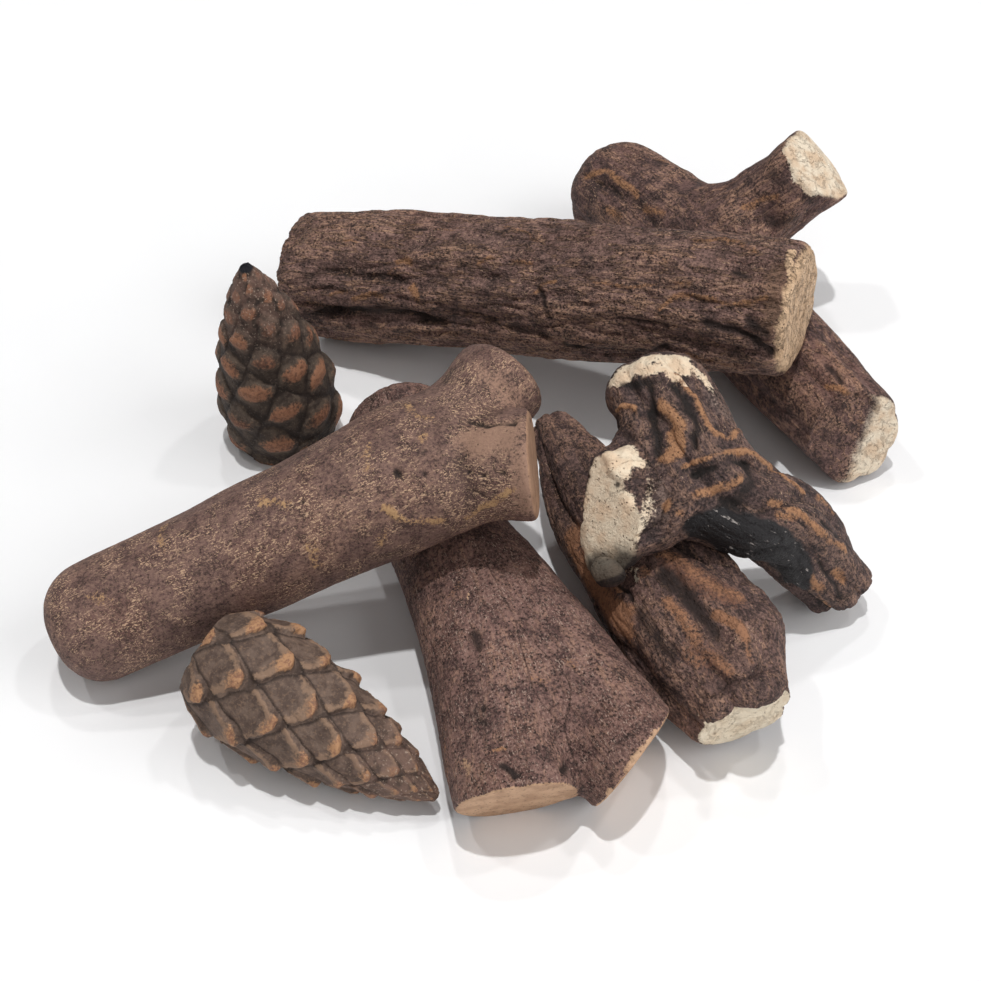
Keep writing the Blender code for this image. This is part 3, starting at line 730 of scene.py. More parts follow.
# Rear log
rearLog = {
    "name": "rearLogBark", "node": "rear_log", "slot": "fissured_bark",
    "place": (-0.09566, 0.12115, 0.02898), "turn": (-21.6, -11.4),
    "fillet": 0.006, "voxel": 0.00090, "bark": fissuredBark, "reliefRange": 0.0028,
    "limbs": [
        limb(((0, 0, 0), (0.0771, 0.00308, 0), (0.1799, 0.00103, 0.00154), (0.257, 0, 0)), 0.067,
             (0.96, 1.0, 1.0, 1.02, 1.0, 0.97), (9, 0.0032, 0, 0.10, 0.4), slopes=((10, 0), (6, 0)),
             ovals=(0.95, 0.95), pale=(0, 1), corner=0.007),
    ],
    "strokes": [
        stroke(1.4, ((45, 42, 86), (56, 36, 88), (66, 32, 90), (78, 31, 94), (88, 26, 96)),
               warm=0.66, lift=0.7),
        stroke(2.0, ((74, 23, 85), (79, 25, 90), (88, 24, 92), (96, 20, 93), (108, 14, 94), (120, 12, 99)),
               warm=0.7, lift=0.9),
        stroke(2.1, ((91, 51, 102), (102, 49, 104), (110, 45, 105), (116, 37, 106)), warm=0.62, lift=0.6),
        stroke(1.7, ((67, 49, 98), (72, 45, 99), (77, 39, 99)), warm=0.55),
        stroke(3.0, ((107, 28, 103), (111, 25, 103)), shade=0.8, lift=-1.6),
        stroke(2.1, ((99, 36, 103), (105, 34, 104), (111, 33, 104)), warm=0.4, lift=0.9),
        stroke(2.6, ((94, 13, 85), (104, 8, 85), (114, 3, 84), (122, 1, 77)), shade=1, lift=-2),
        stroke(3.0, ((112, 8, 91), (119, 2, 88)), shade=0.9, lift=-1.4),
        stroke(2.2, ((32, 35, 54), (48, 31, 54), (64, 24, 60), (77, 19, 67)), shade=0.9, lift=-1.6),
        stroke(1.2, ((56, 28, 77), (67, 24, 78), (77, 20, 78)), shade=0.8, lift=-1),
        stroke(2.1, ((83, 16, 64), (97, 11, 66), (112, 7, 64)), warm=0.5, lift=0.8),
        stroke(3.0, ((132, 34, 109), (130, 14, 106), (129, 6, 92), (127, 1, 76)), pale=0.66),
        stroke(6.0, ((125, 23, 106), (123, 11, 100), (122, 4, 93)), tint=0.8),
        stroke(1.2, ((104, 15, 93), (96, 17, 90), (90, 16, 86)), pale=0.42),
        stroke(1.7, ((-46, 104, 71), (-36, 103, 73)), warm=0.66, lift=0.6),
        stroke(1.2, ((-49, 102, 70), (-43, 100, 71), (-34, 98, 73)), shade=0.9, lift=-1.1),
        stroke(1.7, ((-79, 103, 63), (-72, 100, 64), (-68, 98, 64)), warm=0.55, lift=0.5),
        stroke(1.6, ((-29, 97, 74), (-21, 94, 76)), warm=0.55),
        stroke(1.8, ((4, 88, 83), (10, 82, 84), (15, 79, 85), (19, 74, 85)), warm=0.62, lift=0.5),
        stroke(2.6, ((-47, 84, 66), (-44, 84, 67), (-42, 82, 67)), warm=0.72),
        stroke(1.6, ((-37, 82, 69), (-29, 80, 72)), warm=0.55),
        stroke(1.6, ((-9, 68, 75), (-3, 69, 78), (2, 67, 79), (17, 61, 83)), warm=0.6, lift=0.5),
        stroke(1.7, ((-53, 82, 60), (-46, 81, 64)), warm=0.58),
        stroke(2.9, ((-40, 73, 59), (-38, 68, 56)), warm=0.8),
        stroke(2.3, ((-68, 79, 46), (-61, 78, 50), (-56, 75, 51)), warm=0.72, lift=0.8),
        stroke(1.8, ((-80, 84, 45), (-72, 82, 48)), warm=0.6, lift=0.6),
        stroke(2.1, ((-94, 89, 35), (-85, 86, 39)), warm=0.5),
        stroke(2.4, ((-93, 93, 49), (-82, 93, 53), (-73, 90, 55)), shade=0.5, lift=-0.9),
        stroke(2.8, ((-93, 87, 29), (-76, 84, 36), (-57, 74, 42), (-39, 67, 45), (-25, 62, 44)),
               shade=0.75, lift=-2),
        stroke(1.7, ((-86, 86, 25), (-74, 81, 30)), warm=0.4, lift=0.8),
        stroke(1.7, ((-58, 75, 31), (-43, 68, 37), (-33, 64, 40)), warm=0.42, lift=0.9),
        stroke(1.3, ((19, 51, 77), (21, 46, 74), (22, 43, 70), (26, 39, 66)), shade=0.95, lift=-1.6),
        stroke(1.4, ((18, 49, 75), (21, 51, 78), (27, 49, 81)), warm=0.85, lift=0.8),
        stroke(2.2, ((-26, 62, 54), (-11, 56, 54), (6, 48, 54), (24, 39, 55)), shade=0.55, lift=-1.2),
        stroke(1.2, ((-22, 72, 69), (-13, 70, 73), (-4, 65, 74)), shade=0.7, lift=-0.8),
    ],
    "cuts": [
        {"at": (-93.7, 122.4, 57.9), "facing": (-0.55, 0.1, 0.829), "reach": 30, "bare": False},
    ],
    "finish": barkFinish("fissuredBark", barkLook | {
        "dark": (0.092, 0.052, 0.045), "mid": (0.188, 0.106, 0.091), "light": (0.325, 0.195, 0.159),
        "recessShade": (0.45, 1.15), "ridge": (0.10, 0.50), "brush": 0.85, "crest": 0.9, "grit": 0.65,
        "pits": 0.3, "porous": (0.32, 0.50), "cluster": (0.44, 0.64), "fleckEvery": 0.25, "tooth": 2.4,
        "cream": (0.80, 0.55, 0.35), "creamDark": (0.64, 0.42, 0.255), "creamPore": (0.20, 0.12, 0.08),
        "facePores": 1.0, "faceFade": (-3.5, 1.0), "ragged": 7.0,
    }),
}
buildLog(rearLog)


# Rear forked log
rearTrunk = limb(((0, 0, 0), (0.072, 0.0096, 0), (0.156, 0.0036, 0), (0.240, 0, 0)), 0.057,
                 (0.92, 1.04, 1.02, 0.91, 0.84), (7, 0.0028, 0.05, 0.12, 1.1), ends=("round", "cut"),
                 slopes=((0, 0), (-10, 0)), pale=(0, 1), corner=0.004)
stubRoot = carried(rearTrunk["track"], "line", np.array([0.0888]))[0]
rearForked = {
    "name": "rearForkedBark", "node": "rear_forked_log", "slot": "furrowed_bark",
    "place": (0.05334, 0.21015, 0.0263), "turn": (-61.3, 0.0),
    "fillet": 0.018, "voxel": 0.00090, "bark": furrowedBark, "reliefRange": 0.0024,
    "limbs": [
        rearTrunk,
        limb((stubRoot, stubRoot + 0.080 * heading(70, 42)), 0.041, (1.15, 1.20, 1.02, 1.0, 1.0),
             (5, 0.0028, 0.1, 0.1, 2.2), pale=(0, 1), start=0.079),
    ],
    "strokes": [
        stroke(5.0, ((145, 141, 91), (149, 131, 84), (155, 126, 77)), pale=1),
        stroke(2.9, ((49, 187, 42), (57, 183, 49), (64, 173, 49), (73, 160, 49)), warm=0.75),
        stroke(3.1, ((58, 163, 38), (64, 154, 39)), warm=0.62),
        stroke(3.4, ((77, 150, 48), (85, 141, 51)), warm=0.6),
        stroke(1.8, ((77, 190, 53), (88, 184, 52)), warm=0.5, lift=0.8),
        stroke(1.4, ((83, 186, 53), (93, 178, 52)), shade=0.7, lift=-0.9),
        stroke(9.0, ((93, 173, 53),), lift=3.6),
        stroke(1.2, ((89, 142, 53), (100, 150, 54), (111, 150, 59)), warm=0.7, lift=0.5),
        stroke(2.9, ((123, 128, 65), (131, 128, 69), (139, 127, 73)), warm=0.66),
        stroke(3.4, ((112, 125, 57), (121, 124, 60)), warm=0.55),
        stroke(3.0, ((136, 135, 80), (145, 127, 77), (155, 126, 71)), shade=0.6),
        stroke(4.0, ((132, 125, 63), (140, 122, 59), (147, 123, 61)), shade=0.6),
        stroke(2.1, ((153, 38, 50), (162, 18, 50), (170, 6, 49), (184, 9, 37)), warm=0.35, lift=1.2),
        stroke(1.6, ((151, 29, 50), (160, 13, 50), (167, 3, 47)), shade=0.8, lift=-1),
        stroke(2.6, ((152, 12, 47), (158, 10, 50), (161, 3, 50)), warm=0.75),
        stroke(2.3, ((160, -1, 43), (170, 2, 35)), warm=0.62),
        stroke(2.6, ((176, 5, 34), (184, 9, 34)), pale=0.62),
    ],
    "cuts": [
        {"at": (171.1, 0.9, 26.3), "facing": (0.118, -0.949, 0.292), "reach": 26, "bare": False},
        {"at": (148.7, 133.7, 84.1), "facing": (0.546, -0.238, 0.803), "reach": 28, "bare": True},
    ],
    "finish": barkFinish("furrowedBark", barkLook | {
        "cream": (0.84, 0.72, 0.56), "creamDark": (0.70, 0.52, 0.36), "faceFade": (-1.5, 0.8),
        "ragged": 3.0, "crest": 0.6,
    }),
}
buildLog(rearForked)


# Front forked log
frontDents = (4, 0.00114, 0.05, 0.2, 2.7)
frontRoot = np.array([0.06136, 0, 0])
frontForked = {
    "name": "frontForkedBark", "node": "front_forked_log", "slot": "fibrous_bark",
    "place": (-0.04786, 0.02465, 0.0223), "turn": (-76.5, 0.0),
    "fillet": 0.010, "voxel": 0.00090, "bark": fibrousBark, "reliefRange": 0.0012,
    "limbs": [
        limb(((0, 0, 0), (0.0708, 0.00283, 0), (0.14632, 0.00472, 0), (0.236, 0, 0)), 0.052,
             (1.08, 1.0, 0.95, 0.95, 0.96), frontDents, ends=("round", "cut"), slopes=((0, 0), (26, 0)),
             pale=(0, 1)),
        limb((frontRoot, frontRoot + 0.173 * heading(16.9)), 0.049, (0.70, 1.0, 1.02, 1.0), frontDents,
             slopes=((0, 0), (26, -28)), pale=(0, 1), start=0.061),
        limb((frontRoot, frontRoot + 0.161 * heading(8.45)), 0.050, (0.60, 0.86, 1.06, 1.24), frontDents,
             ends=("cut", "round"), ovals=(0.95, 0.86, 0.72), start=0.061),
    ],
    "strokes": [
        stroke(2.6, ((44, -208, 33), (53, -203, 43), (61, -191, 44)), pale=0.8),
        stroke(3.6, ((31, -194, 23), (28, -190, 29), (26, -181, 33)), shade=0.9, lift=-5),
        stroke(0.8, ((-12, -104, 46), (-11, -117, 46), (-13, -123, 46)), pale=0.85),
        stroke(3.2, ((-9, -139, 46), (-7, -146, 47)), shade=0.75, lift=-0.6),
        stroke(4.7, ((17, -163, 44), (22, -167, 43)), warm=0.5),
        stroke(3.4, ((28, -153, 46), (31, -156, 46)), warm=0.5),
        stroke(3.4, ((-17, -111, 46), (-18, -116, 45)), warm=0.48),
        stroke(2.8, ((-13, -198, 39), (-10, -204, 40)), pale=0.52),
        stroke(1.8, ((2, -206, 46), (6, -211, 46)), shade=0.95, lift=-1.4),
        stroke(1.3, ((-2, -199, 45), (2, -198, 46)), warm=0.75),
        stroke(2.2, ((29, -186, 31), (27, -194, 34), (26, -203, 39)), shade=0.95, lift=-1.6),
        stroke(2.4, ((22, -184, 39), (26, -188, 34)), shade=0.5, lift=-0.6),
        stroke(1.5, ((62, -189, 44),), pale=0.95),
        stroke(0.9, ((46, -192, 44), (53, -190, 46)), shade=0.9, lift=-0.8),
        stroke(0.8, ((45, -197, 42), (52, -196, 45)), pale=0.6),
        stroke(2.3, ((-21, -174, 31), (-20, -188, 28), (-19, -198, 24)), warm=0.5),
        stroke(1.2, ((-5, -177, 45), (-5, -178, 45)), shade=0.9, lift=-0.8),
    ],
    "finish": barkFinish("fibrousBark", barkLook | {
        "dark": (0.098, 0.051, 0.045), "mid": (0.178, 0.097, 0.083), "light": (0.287, 0.167, 0.134),
        "brush": 0.45, "porous": (0.22, 0.46), "pores": 0.85, "warmGrain": 1.8, "warmEdge": (0.35, 0.80),
        "cluster": (0.36, 0.60), "fleckEdge": (0.60, 0.70), "fleck": (0.42, 0.30, 0.24), "fleckEvery": 0.25,
        "cream": (0.60, 0.38, 0.24), "creamDark": (0.45, 0.27, 0.165), "facePores": 0.9, "ragged": 4.0,
    }),
}
buildLog(frontForked)


# Left forked log
leftDents = (3, 0.00119, 0.05, 0.2, 0.7)
leftForked = {
    "name": "leftForkedBark", "node": "left_forked_log", "slot": "smooth_bark",
    "place": (-0.02866, -0.07285, 0.07795), "turn": (16.0, -19.861),
    "fillet": 0.010, "voxel": 0.00090, "bark": smoothBark, "reliefRange": 0.0012,
    "limbs": [
        limb(((-0.174, 0, 0), (-0.1044, 0, 0), (-0.0435, 0, 0), (0.02088, 0, 0)), 0.054,
             (0.95, 0.97, 1.0, 1.06, 1.20, 1.22), leftDents, ends=("round", "round"),
             ovals=(1, 1, 1, 0.95, 0.85)),
        limb(((0, 0, 0), 0.056 * heading(34)), 0.042, (0.72, 0.98, 1.0, 1.0), leftDents, start=0.174,
             corner=0.006),
        limb(((0, 0, 0), 0.048 * heading(-32)), 0.047, (0.72, 0.98, 1.0, 1.0), leftDents,
             slopes=((0, 0), (12, -15)), start=0.174, pale=(0, 1), corner=0.003),
    ],
    "strokes": [
        stroke(2.9, ((-139, -94, 63), (-137, -108, 65)), warm=0.62),
        stroke(2.9, ((-96, -97, 81), (-87, -100, 82)), warm=0.72),
        stroke(3.1, ((-37, -63, 102), (-32, -72, 104), (-22, -75, 102), (-30, -84, 103)), warm=0.72),
        stroke(3.1, ((-52, -85, 100), (-53, -93, 97)), warm=0.6),
        stroke(3.4, ((-76, -113, 72), (-73, -115, 62)), warm=0.58),
        stroke(3.1, ((-166, -122, 50), (-161, -123, 51)), warm=0.58),
        stroke(2.6, ((-46, -109, 76), (-48, -110, 69)), warm=0.62),
        stroke(2.2, ((-45, -106, 86), (-37, -107, 80), (-25, -105, 79), (-15, -100, 76), (-7, -104, 84),
                     (3, -107, 95), (5, -107, 98)), warm=0.92, lift=0.5),
        stroke(10.0, ((-9, -88, 107), (3, -92, 111), (14, -87, 104)), tint=0.85),
        stroke(8.0, ((12, -102, 110), (13, -108, 100), (13, -110, 90)), tint=0.8),
        stroke(1.5, ((-41, -96, 97), (-39, -97, 96)), shade=1, lift=-1.6),
        stroke(1.0, ((-30, -97, 97), (-22, -97, 94), (-18, -99, 91)), shade=0.9, lift=-1),
        stroke(1.0, ((-11, -99, 98), (-3, -103, 100), (3, -103, 104)), shade=0.95, lift=-1.2),
        stroke(0.7, ((-27, -101, 91), (-26, -104, 86)), pale=0.9),
        stroke(1.0, ((-79, -102, 84),), shade=1, lift=-1),
        stroke(1.1, ((-14, -101, 92), (3, -107, 89)), shade=0.6, lift=-0.6),
        stroke(9.0, ((-1, -51, 108), (6, -57, 101)), tint=0.55),
        stroke(1.5, ((1, -35, 112), (8, -42, 111), (16, -45, 103), (18, -47, 94)), pale=0.6),
        stroke(1.4, ((-11, -77, 107), (-3, -83, 110), (7, -86, 113), (14, -74, 104)), shade=0.9, lift=-1.4),
        stroke(4.0, ((-15, -94, 101), (-12, -99, 96), (-11, -102, 90)), shade=0.45, lift=-0.8),
    ],
    "finish": barkFinish("smoothBark", barkLook | {
        "dark": (0.112, 0.061, 0.053), "mid": (0.160, 0.090, 0.077), "light": (0.245, 0.148, 0.115),
        "brush": 0.3, "pits": 0.25, "grit": 0.6, "crest": 0.0, "tooth": 0.7, "tint": (0.36, 0.215, 0.150),
        "cluster": (0.43, 0.60), "fleckEdge": (0.575, 0.64), "fleck": (0.56, 0.37, 0.24),
        "warmCloud": 0.9, "warmGrain": 2.2, "warmEdge": (0.42, 0.78),
        "orange": (0.46, 0.28, 0.14), "orangeDark": (0.26, 0.135, 0.075),
        "cream": (0.42, 0.25, 0.16), "creamDark": (0.33, 0.19, 0.12),
    }),
}
buildLog(leftForked)


# Middle log
middleRidges = (6, 0.0040, 0.16, 0.15, 0.2)
middleLog = {
    "name": "middleLogBark", "node": "middle_log", "slot": "ridged_bark",
    "place": (0.02541, 0.00285, 0.0283), "turn": (-66.3, 0.0),
    "fillet": 0.012, "voxel": 0.00086, "bark": ridgedBark, "reliefRange": 0.0032,
    "limbs": [
        limb(((0, 0, 0.00376), (0.0564, -0.00188, 0), (0.1222, 0.00188, 0), (0.188, 0, -0.00188)), 0.061,
             (0.36, 0.60, 0.78, 0.92, 1.02, 0.99, 0.64), middleRidges, slopes=((0, 0), (20, 0)),
             pale=(0, 1)),
        limb(((0.1316, 0, 0), np.array([0.1316, 0, 0]) + 0.040 * heading(36)), 0.046,
             (0.72, 0.98, 1.0, 1.0), middleRidges, ends=("cut", "round"), start=0.132),
    ],
    "strokes": [
        stroke(9.0, ((74, -109, 57), (83, -121, 57), (94, -127, 56)), tint=0.7),
        stroke(7.0, ((79, -152, 52), (85, -157, 51)), tint=0.6),
        stroke(8.0, ((36, -87, 33), (43, -105, 34), (50, -124, 38)), tint=0.9),
        stroke(6.5, ((33, -72, 36), (34, -80, 34), (40, -96, 33), (46, -111, 36), (51, -125, 39),
                     (54, -130, 39)), warm=0.85),
        stroke(2.6, ((48, -99, 44), (53, -103, 49), (59, -109, 52), (59, -113, 50)), pale=0.5, lift=1),
        stroke(2.1, ((50, -100, 46), (48, -104, 42), (51, -113, 44)), warm=0.9, lift=1),
        stroke(1.0, ((48, -102, 43), (51, -110, 44), (54, -116, 46), (57, -123, 48)), shade=1, lift=-1.6),
        stroke(4.2, ((51, -119, 42), (55, -125, 44)), warm=0.9),
        stroke(2.6, ((61, -108, 53), (62, -111, 53)), warm=0.6),
        stroke(5.2, ((70, -104, 57), (77, -110, 57), (83, -119, 57), (90, -125, 56), (98, -126, 53)),
               warm=0.62, lift=0.8),
        stroke(3.9, ((69, -128, 54), (74, -136, 54), (78, -144, 54), (81, -151, 53), (85, -155, 52),
                     (92, -162, 50)), warm=0.66, lift=1),
        stroke(4.7, ((76, -154, 50), (81, -156, 50)), warm=0.6),
        stroke(3.1, ((89, -138, 57), (93, -141, 57), (97, -143, 56), (99, -148, 55)), warm=0.95, lift=1),
        stroke(2.9, ((99, -148, 55), (100, -153, 53), (102, -158, 51)), warm=0.6, lift=0.8),
        stroke(4.4, ((68, -114, 56), (75, -123, 56), (80, -133, 57), (85, -142, 57), (87, -149, 56)),
               shade=0.9, lift=-1.8),
        stroke(4.5, ((59, -128, 48), (64, -141, 47), (69, -151, 47)), shade=0.65, lift=-1),
        stroke(3.0, ((90, -148, 57), (94, -155, 54), (96, -159, 52)), shade=0.5, lift=-1),
        stroke(2.4, ((102, -161, 50), (107, -160, 48), (112, -159, 44), (113, -162, 42)),
               pale=0.58, lift=-0.5),
        stroke(0.9, ((105, -159, 49), (110, -157, 46), (116, -156, 41)), shade=0.9, lift=-1),
        stroke(1.0, ((76, -160, 44), (80, -166, 43), (81, -169, 41)), shade=0.9, lift=-1.2),
        stroke(1.6, ((103, -137, 52), (109, -136, 47), (116, -135, 40)), pale=0.38, lift=0.6),
        stroke(2.6, ((107, -122, 45), (113, -123, 39)), shade=0.6, lift=-0.8),
        stroke(1.8, ((76, -166, 28), (81, -173, 35)), pale=0.42),
        stroke(3.0, ((26, -62, 25),), shade=0.6),
    ],
    "cuts": [
        {"at": (100.0, -165.0, 15.0), "facing": (0.37, -0.91, -0.1), "reach": 30, "bare": True},
    ],
    "finish": barkFinish("ridgedBark", barkLook | {
        "dark": (0.055, 0.032, 0.030), "mid": (0.110, 0.065, 0.056), "brush": 0.5,
        "cream": (0.82, 0.71, 0.55), "creamDark": (0.72, 0.58, 0.42), "ragged": 3.0,
        "tint": (0.190, 0.085, 0.052), "orange": (0.34, 0.165, 0.090), "warmGrain": 1.1, "crest": 0.5,
    }),
}
buildLog(middleLog)


# Right forked log
rightRidges = (6, 0.0040, 0.30, 0.2, 1.4)
legEnd = np.array([-0.05796, -0.00644, 0.06992])
rightForked = {
    "name": "rightForkedBark", "node": "right_forked_log", "slot": "sooty_bark",
    "place": (0.15051, -0.07685, 0.00889), "turn": (0.0, -2.294),
    "fillet": 0.010, "voxel": 0.00078, "bark": ridgedBark, "reliefRange": 0.0030,
    "limbs": [
        limb(((0, 0, 0), (-0.02668, -0.00184, 0.0414), legEnd,
              legEnd - 0.067 * np.array([0.21, -0.40, -0.20]),
              legEnd - 0.067 * np.array([0.40, -0.78, -0.36])),
             0.040, (0.84, 0.98, 1.06, 1.10, 1.10, 1.12), rightRidges, ends=("cut", "round"),
             slopes=((0, 0), (-14, 0))),
        limb((legEnd, legEnd + 0.055 * heading(203, -8)), 0.031, (0.72, 0.98, 1.0, 1.0), rightRidges,
             slopes=((0, 0), (-20, 0)), pale=(0, 1), start=0.09),
        limb((legEnd, legEnd + 0.052 * heading(182, 10)), 0.023, (0.72, 0.98, 1.0, 1.0), rightRidges,
             ends=("cut", "round"), start=0.09),
        limb((legEnd, legEnd + 0.044 * heading(156, 14)), 0.024, (0.72, 0.98, 1.0, 1.0), rightRidges,
             ends=("cut", "round"), start=0.09),
    ],
    "strokes": [
        stroke(4.8, ((51, -47, 103), (56, -44, 106), (63, -45, 111), (70, -45, 112), (77, -46, 112)),
               pale=1, lift=0.4),
        stroke(3.4, ((80, -48, 112), (86, -52, 108), (89, -55, 105)), pale=0.6),
        stroke(2.6, ((71, -54, 112), (77, -58, 110)), pale=0.62),
        stroke(6.0, ((89, -60, 105), (96, -64, 99)), tint=0.45),
        stroke(2.0, ((70, -52, 113), (75, -56, 111), (80, -63, 108), (83, -70, 106), (86, -76, 105),
                     (89, -80, 102), (95, -78, 99), (100, -71, 95)), warm=0.9, lift=1),
        stroke(1.7, ((53, -60, 100), (57, -62, 101), (60, -70, 98), (62, -76, 95), (63, -81, 92),
                     (62, -84, 90), (59, -88, 90)), warm=0.95, lift=1.2),
        stroke(2.6, ((68, -67, 107), (72, -71, 106), (75, -77, 103), (76, -81, 100), (74, -85, 97),
                     (70, -86, 95), (64, -84, 89)), warm=0.95, lift=1.4),
        stroke(3.9, ((72, -78, 101), (73, -83, 97), (70, -86, 95)), warm=0.85),
        stroke(1.6, ((51, -59, 97), (53, -60, 100)), warm=0.85, lift=0.8),
        stroke(3.2, ((53, -62, 92), (55, -71, 93), (58, -78, 91)), shade=1, lift=-2.2),
        stroke(2.6, ((63, -58, 110), (65, -68, 102), (66, -77, 98), (66, -82, 94)), shade=0.95, lift=-1.4),
        stroke(2.4, ((72, -59, 111), (78, -68, 108), (81, -77, 105), (81, -85, 101)), shade=0.9, lift=-1.4),
        stroke(2.4, ((53, -52, 104), (61, -56, 109), (68, -57, 111)), shade=0.8),
        stroke(2.0, ((71, -91, 90), (77, -90, 94), (85, -90, 98), (92, -87, 99), (100, -82, 95),
                     (107, -79, 89), (115, -76, 80), (121, -80, 77), (128, -82, 70)), warm=0.95, lift=1.3),
        stroke(1.6, ((75, -95, 89), (81, -94, 92), (89, -93, 96), (99, -87, 94), (103, -86, 91)),
               shade=1, lift=-1.5),
        stroke(2.6, ((68, -102, 83), (74, -100, 85), (84, -98, 87), (92, -97, 90), (99, -94, 91)),
               warm=0.9, lift=1.2),
        stroke(3.1, ((74, -104, 82), (77, -103, 79)), warm=0.7),
        stroke(4.0, ((103, -88, 90), (103, -95, 88), (99, -99, 84), (91, -102, 82)), shade=0.7, lift=-1),
        stroke(4.6, ((62, -91, 87), (63, -97, 84), (60, -107, 80), (55, -112, 75)), pale=0.6),
        stroke(5.0, ((67, -91, 86), (68, -101, 84), (64, -107, 78)), tint=0.5),
        stroke(4.2, ((44, -91, 89), (46, -86, 92), (50, -82, 92), (55, -82, 92), (58, -86, 91)), pale=1),
        stroke(4.0, ((49, -89, 91), (52, -91, 90)), pale=0.9),
        stroke(1.2, ((51, -91, 90), (59, -88, 90)), warm=0.8),
        stroke(5.2, ((45, -100, 84), (52, -100, 84), (53, -105, 82), (46, -109, 79), (43, -109, 72)),
               pale=1),
        stroke(6.0, ((44, -89, 90), (50, -88, 91), (55, -85, 92)), pale=0.9, lift=3.6),
        stroke(1.4, ((40, -91, 81), (46, -94, 87), (52, -93, 87), (57, -92, 88)), shade=1, lift=-2.2),
        stroke(4.0, ((52, -50, 104), (57, -49, 109), (64, -51, 112), (72, -51, 113), (78, -51, 111)),
               pale=0.85),
        stroke(7.0, ((97, -101, 56),), soot=1),
        stroke(2.3, ((112, -95, 79), (120, -93, 73), (130, -93, 65), (138, -91, 54), (148, -87, 42)),
               warm=0.85, lift=1.1),
        stroke(2.3, ((116, -97, 73), (123, -95, 69)), warm=0.7),
        stroke(2.0, ((135, -76, 63), (144, -75, 52)), warm=0.65, lift=0.9),
        stroke(1.4, ((129, -88, 67), (138, -88, 58), (147, -83, 45)), shade=0.9, lift=-1.1),
        stroke(2.2, ((132, -98, 39), (137, -97, 30), (145, -91, 11)), warm=0.8, lift=0.8),
        stroke(3.1, ((145, -93, 36), (149, -92, 28)), warm=0.75),
        stroke(1.6, ((137, -95, 43), (142, -95, 33), (148, -95, 22)), shade=0.8, lift=-0.8),
        stroke(7.0, ((81, -103, 76), (91, -105, 78), (103, -105, 73), (115, -103, 66), (126, -99, 49),
                     (128, -98, 39)), soot=1),
        stroke(9.0, ((86, -105, 72), (97, -105, 64), (114, -101, 53), (127, -95, 32)), soot=1),
        stroke(4.5, ((90, -60, 104), (96, -62, 98)), pale=0.36),
        stroke(1.4, ((80, -93, 92), (86, -96, 90)), shade=0.5),
        # painted shadow over the lower edge of the cut face and the bark below it
        stroke(10.0, ((41, -111, 55), (46, -117, 60), (52, -116, 62)), shade=1),
    ],
    "cuts": [
        {"at": (51.7, -102.2, 79.7), "facing": (-0.661, -0.621, 0.421), "reach": 26, "bare": True},
    ],
    "finish": barkFinish("sootyBark", barkLook | {
        "dark": (0.041, 0.025, 0.025), "mid": (0.090, 0.054, 0.050), "light": (0.172, 0.110, 0.094),
        "deep": (0.014, 0.010, 0.009), "brush": 0.35, "rustShare": 0.2, "fleckEvery": 0.10,
        "cream": (0.88, 0.74, 0.56), "creamDark": (0.80, 0.60, 0.42), "facePores": 0.8,
        "faceFade": (-1.2, 0.6), "ragged": 2.4, "tint": (0.22, 0.160, 0.135),
    }),
}
buildLog(rightForked)


# Cones

# Shares of the height, and the radius there as a share of half the diameter
coneHeights = (0, 0.06, 0.18, 0.34, 0.52, 0.70, 0.84, 0.94, 1.0)
coneRadii = (0.72, 0.90, 1.0, 0.98, 0.83, 0.62, 0.41, 0.21, 0.06)
coneGrid = (300, 320)  # rows up the side and columns round it
baseRings = 10
golden = (1 + math.sqrt(5)) / 2
scaleCount = 62  # scales from base to tip
taper = 1.5  # with height share h, a scale's size goes with (1 - h)^(1 / 3)


# Where the points lie on their scales. With c scales climbed, 62 (1 - (1 - h)^(1 / 1.5)), and f of a turn,
# the two families of spirals are u = c / g^6 - 8f and v = c / g^5 + 5f, g the golden ratio. Each whole step
# of both is one scale, a and b run over it from its low corner to its rim, and two lots are drawn for it
def coneLattice(cone, share, turn, plain):
    climb = scaleCount * (1 - (1 - share) ** (1 / taper))
    sway = [cloud(plain / 0.011, 2, 0.5, cone["seed"] + k).reshape(share.shape) * 0.07 for k in range(2)]
    u = climb / golden ** 6 - 8 * turn + sway[0]
    v = climb / golden ** 5 + 5 * turn + sway[1]
    number = (5 * np.floor(u) + 8 * np.floor(v)).astype(np.int64)
    chance = np.random.default_rng(cone["seed"]).random(4096)
    lot, otherLot = chance[number % 4096], chance[(number * 7 + 5) % 4096]
    return u - np.floor(u), v - np.floor(v), lot, otherLot


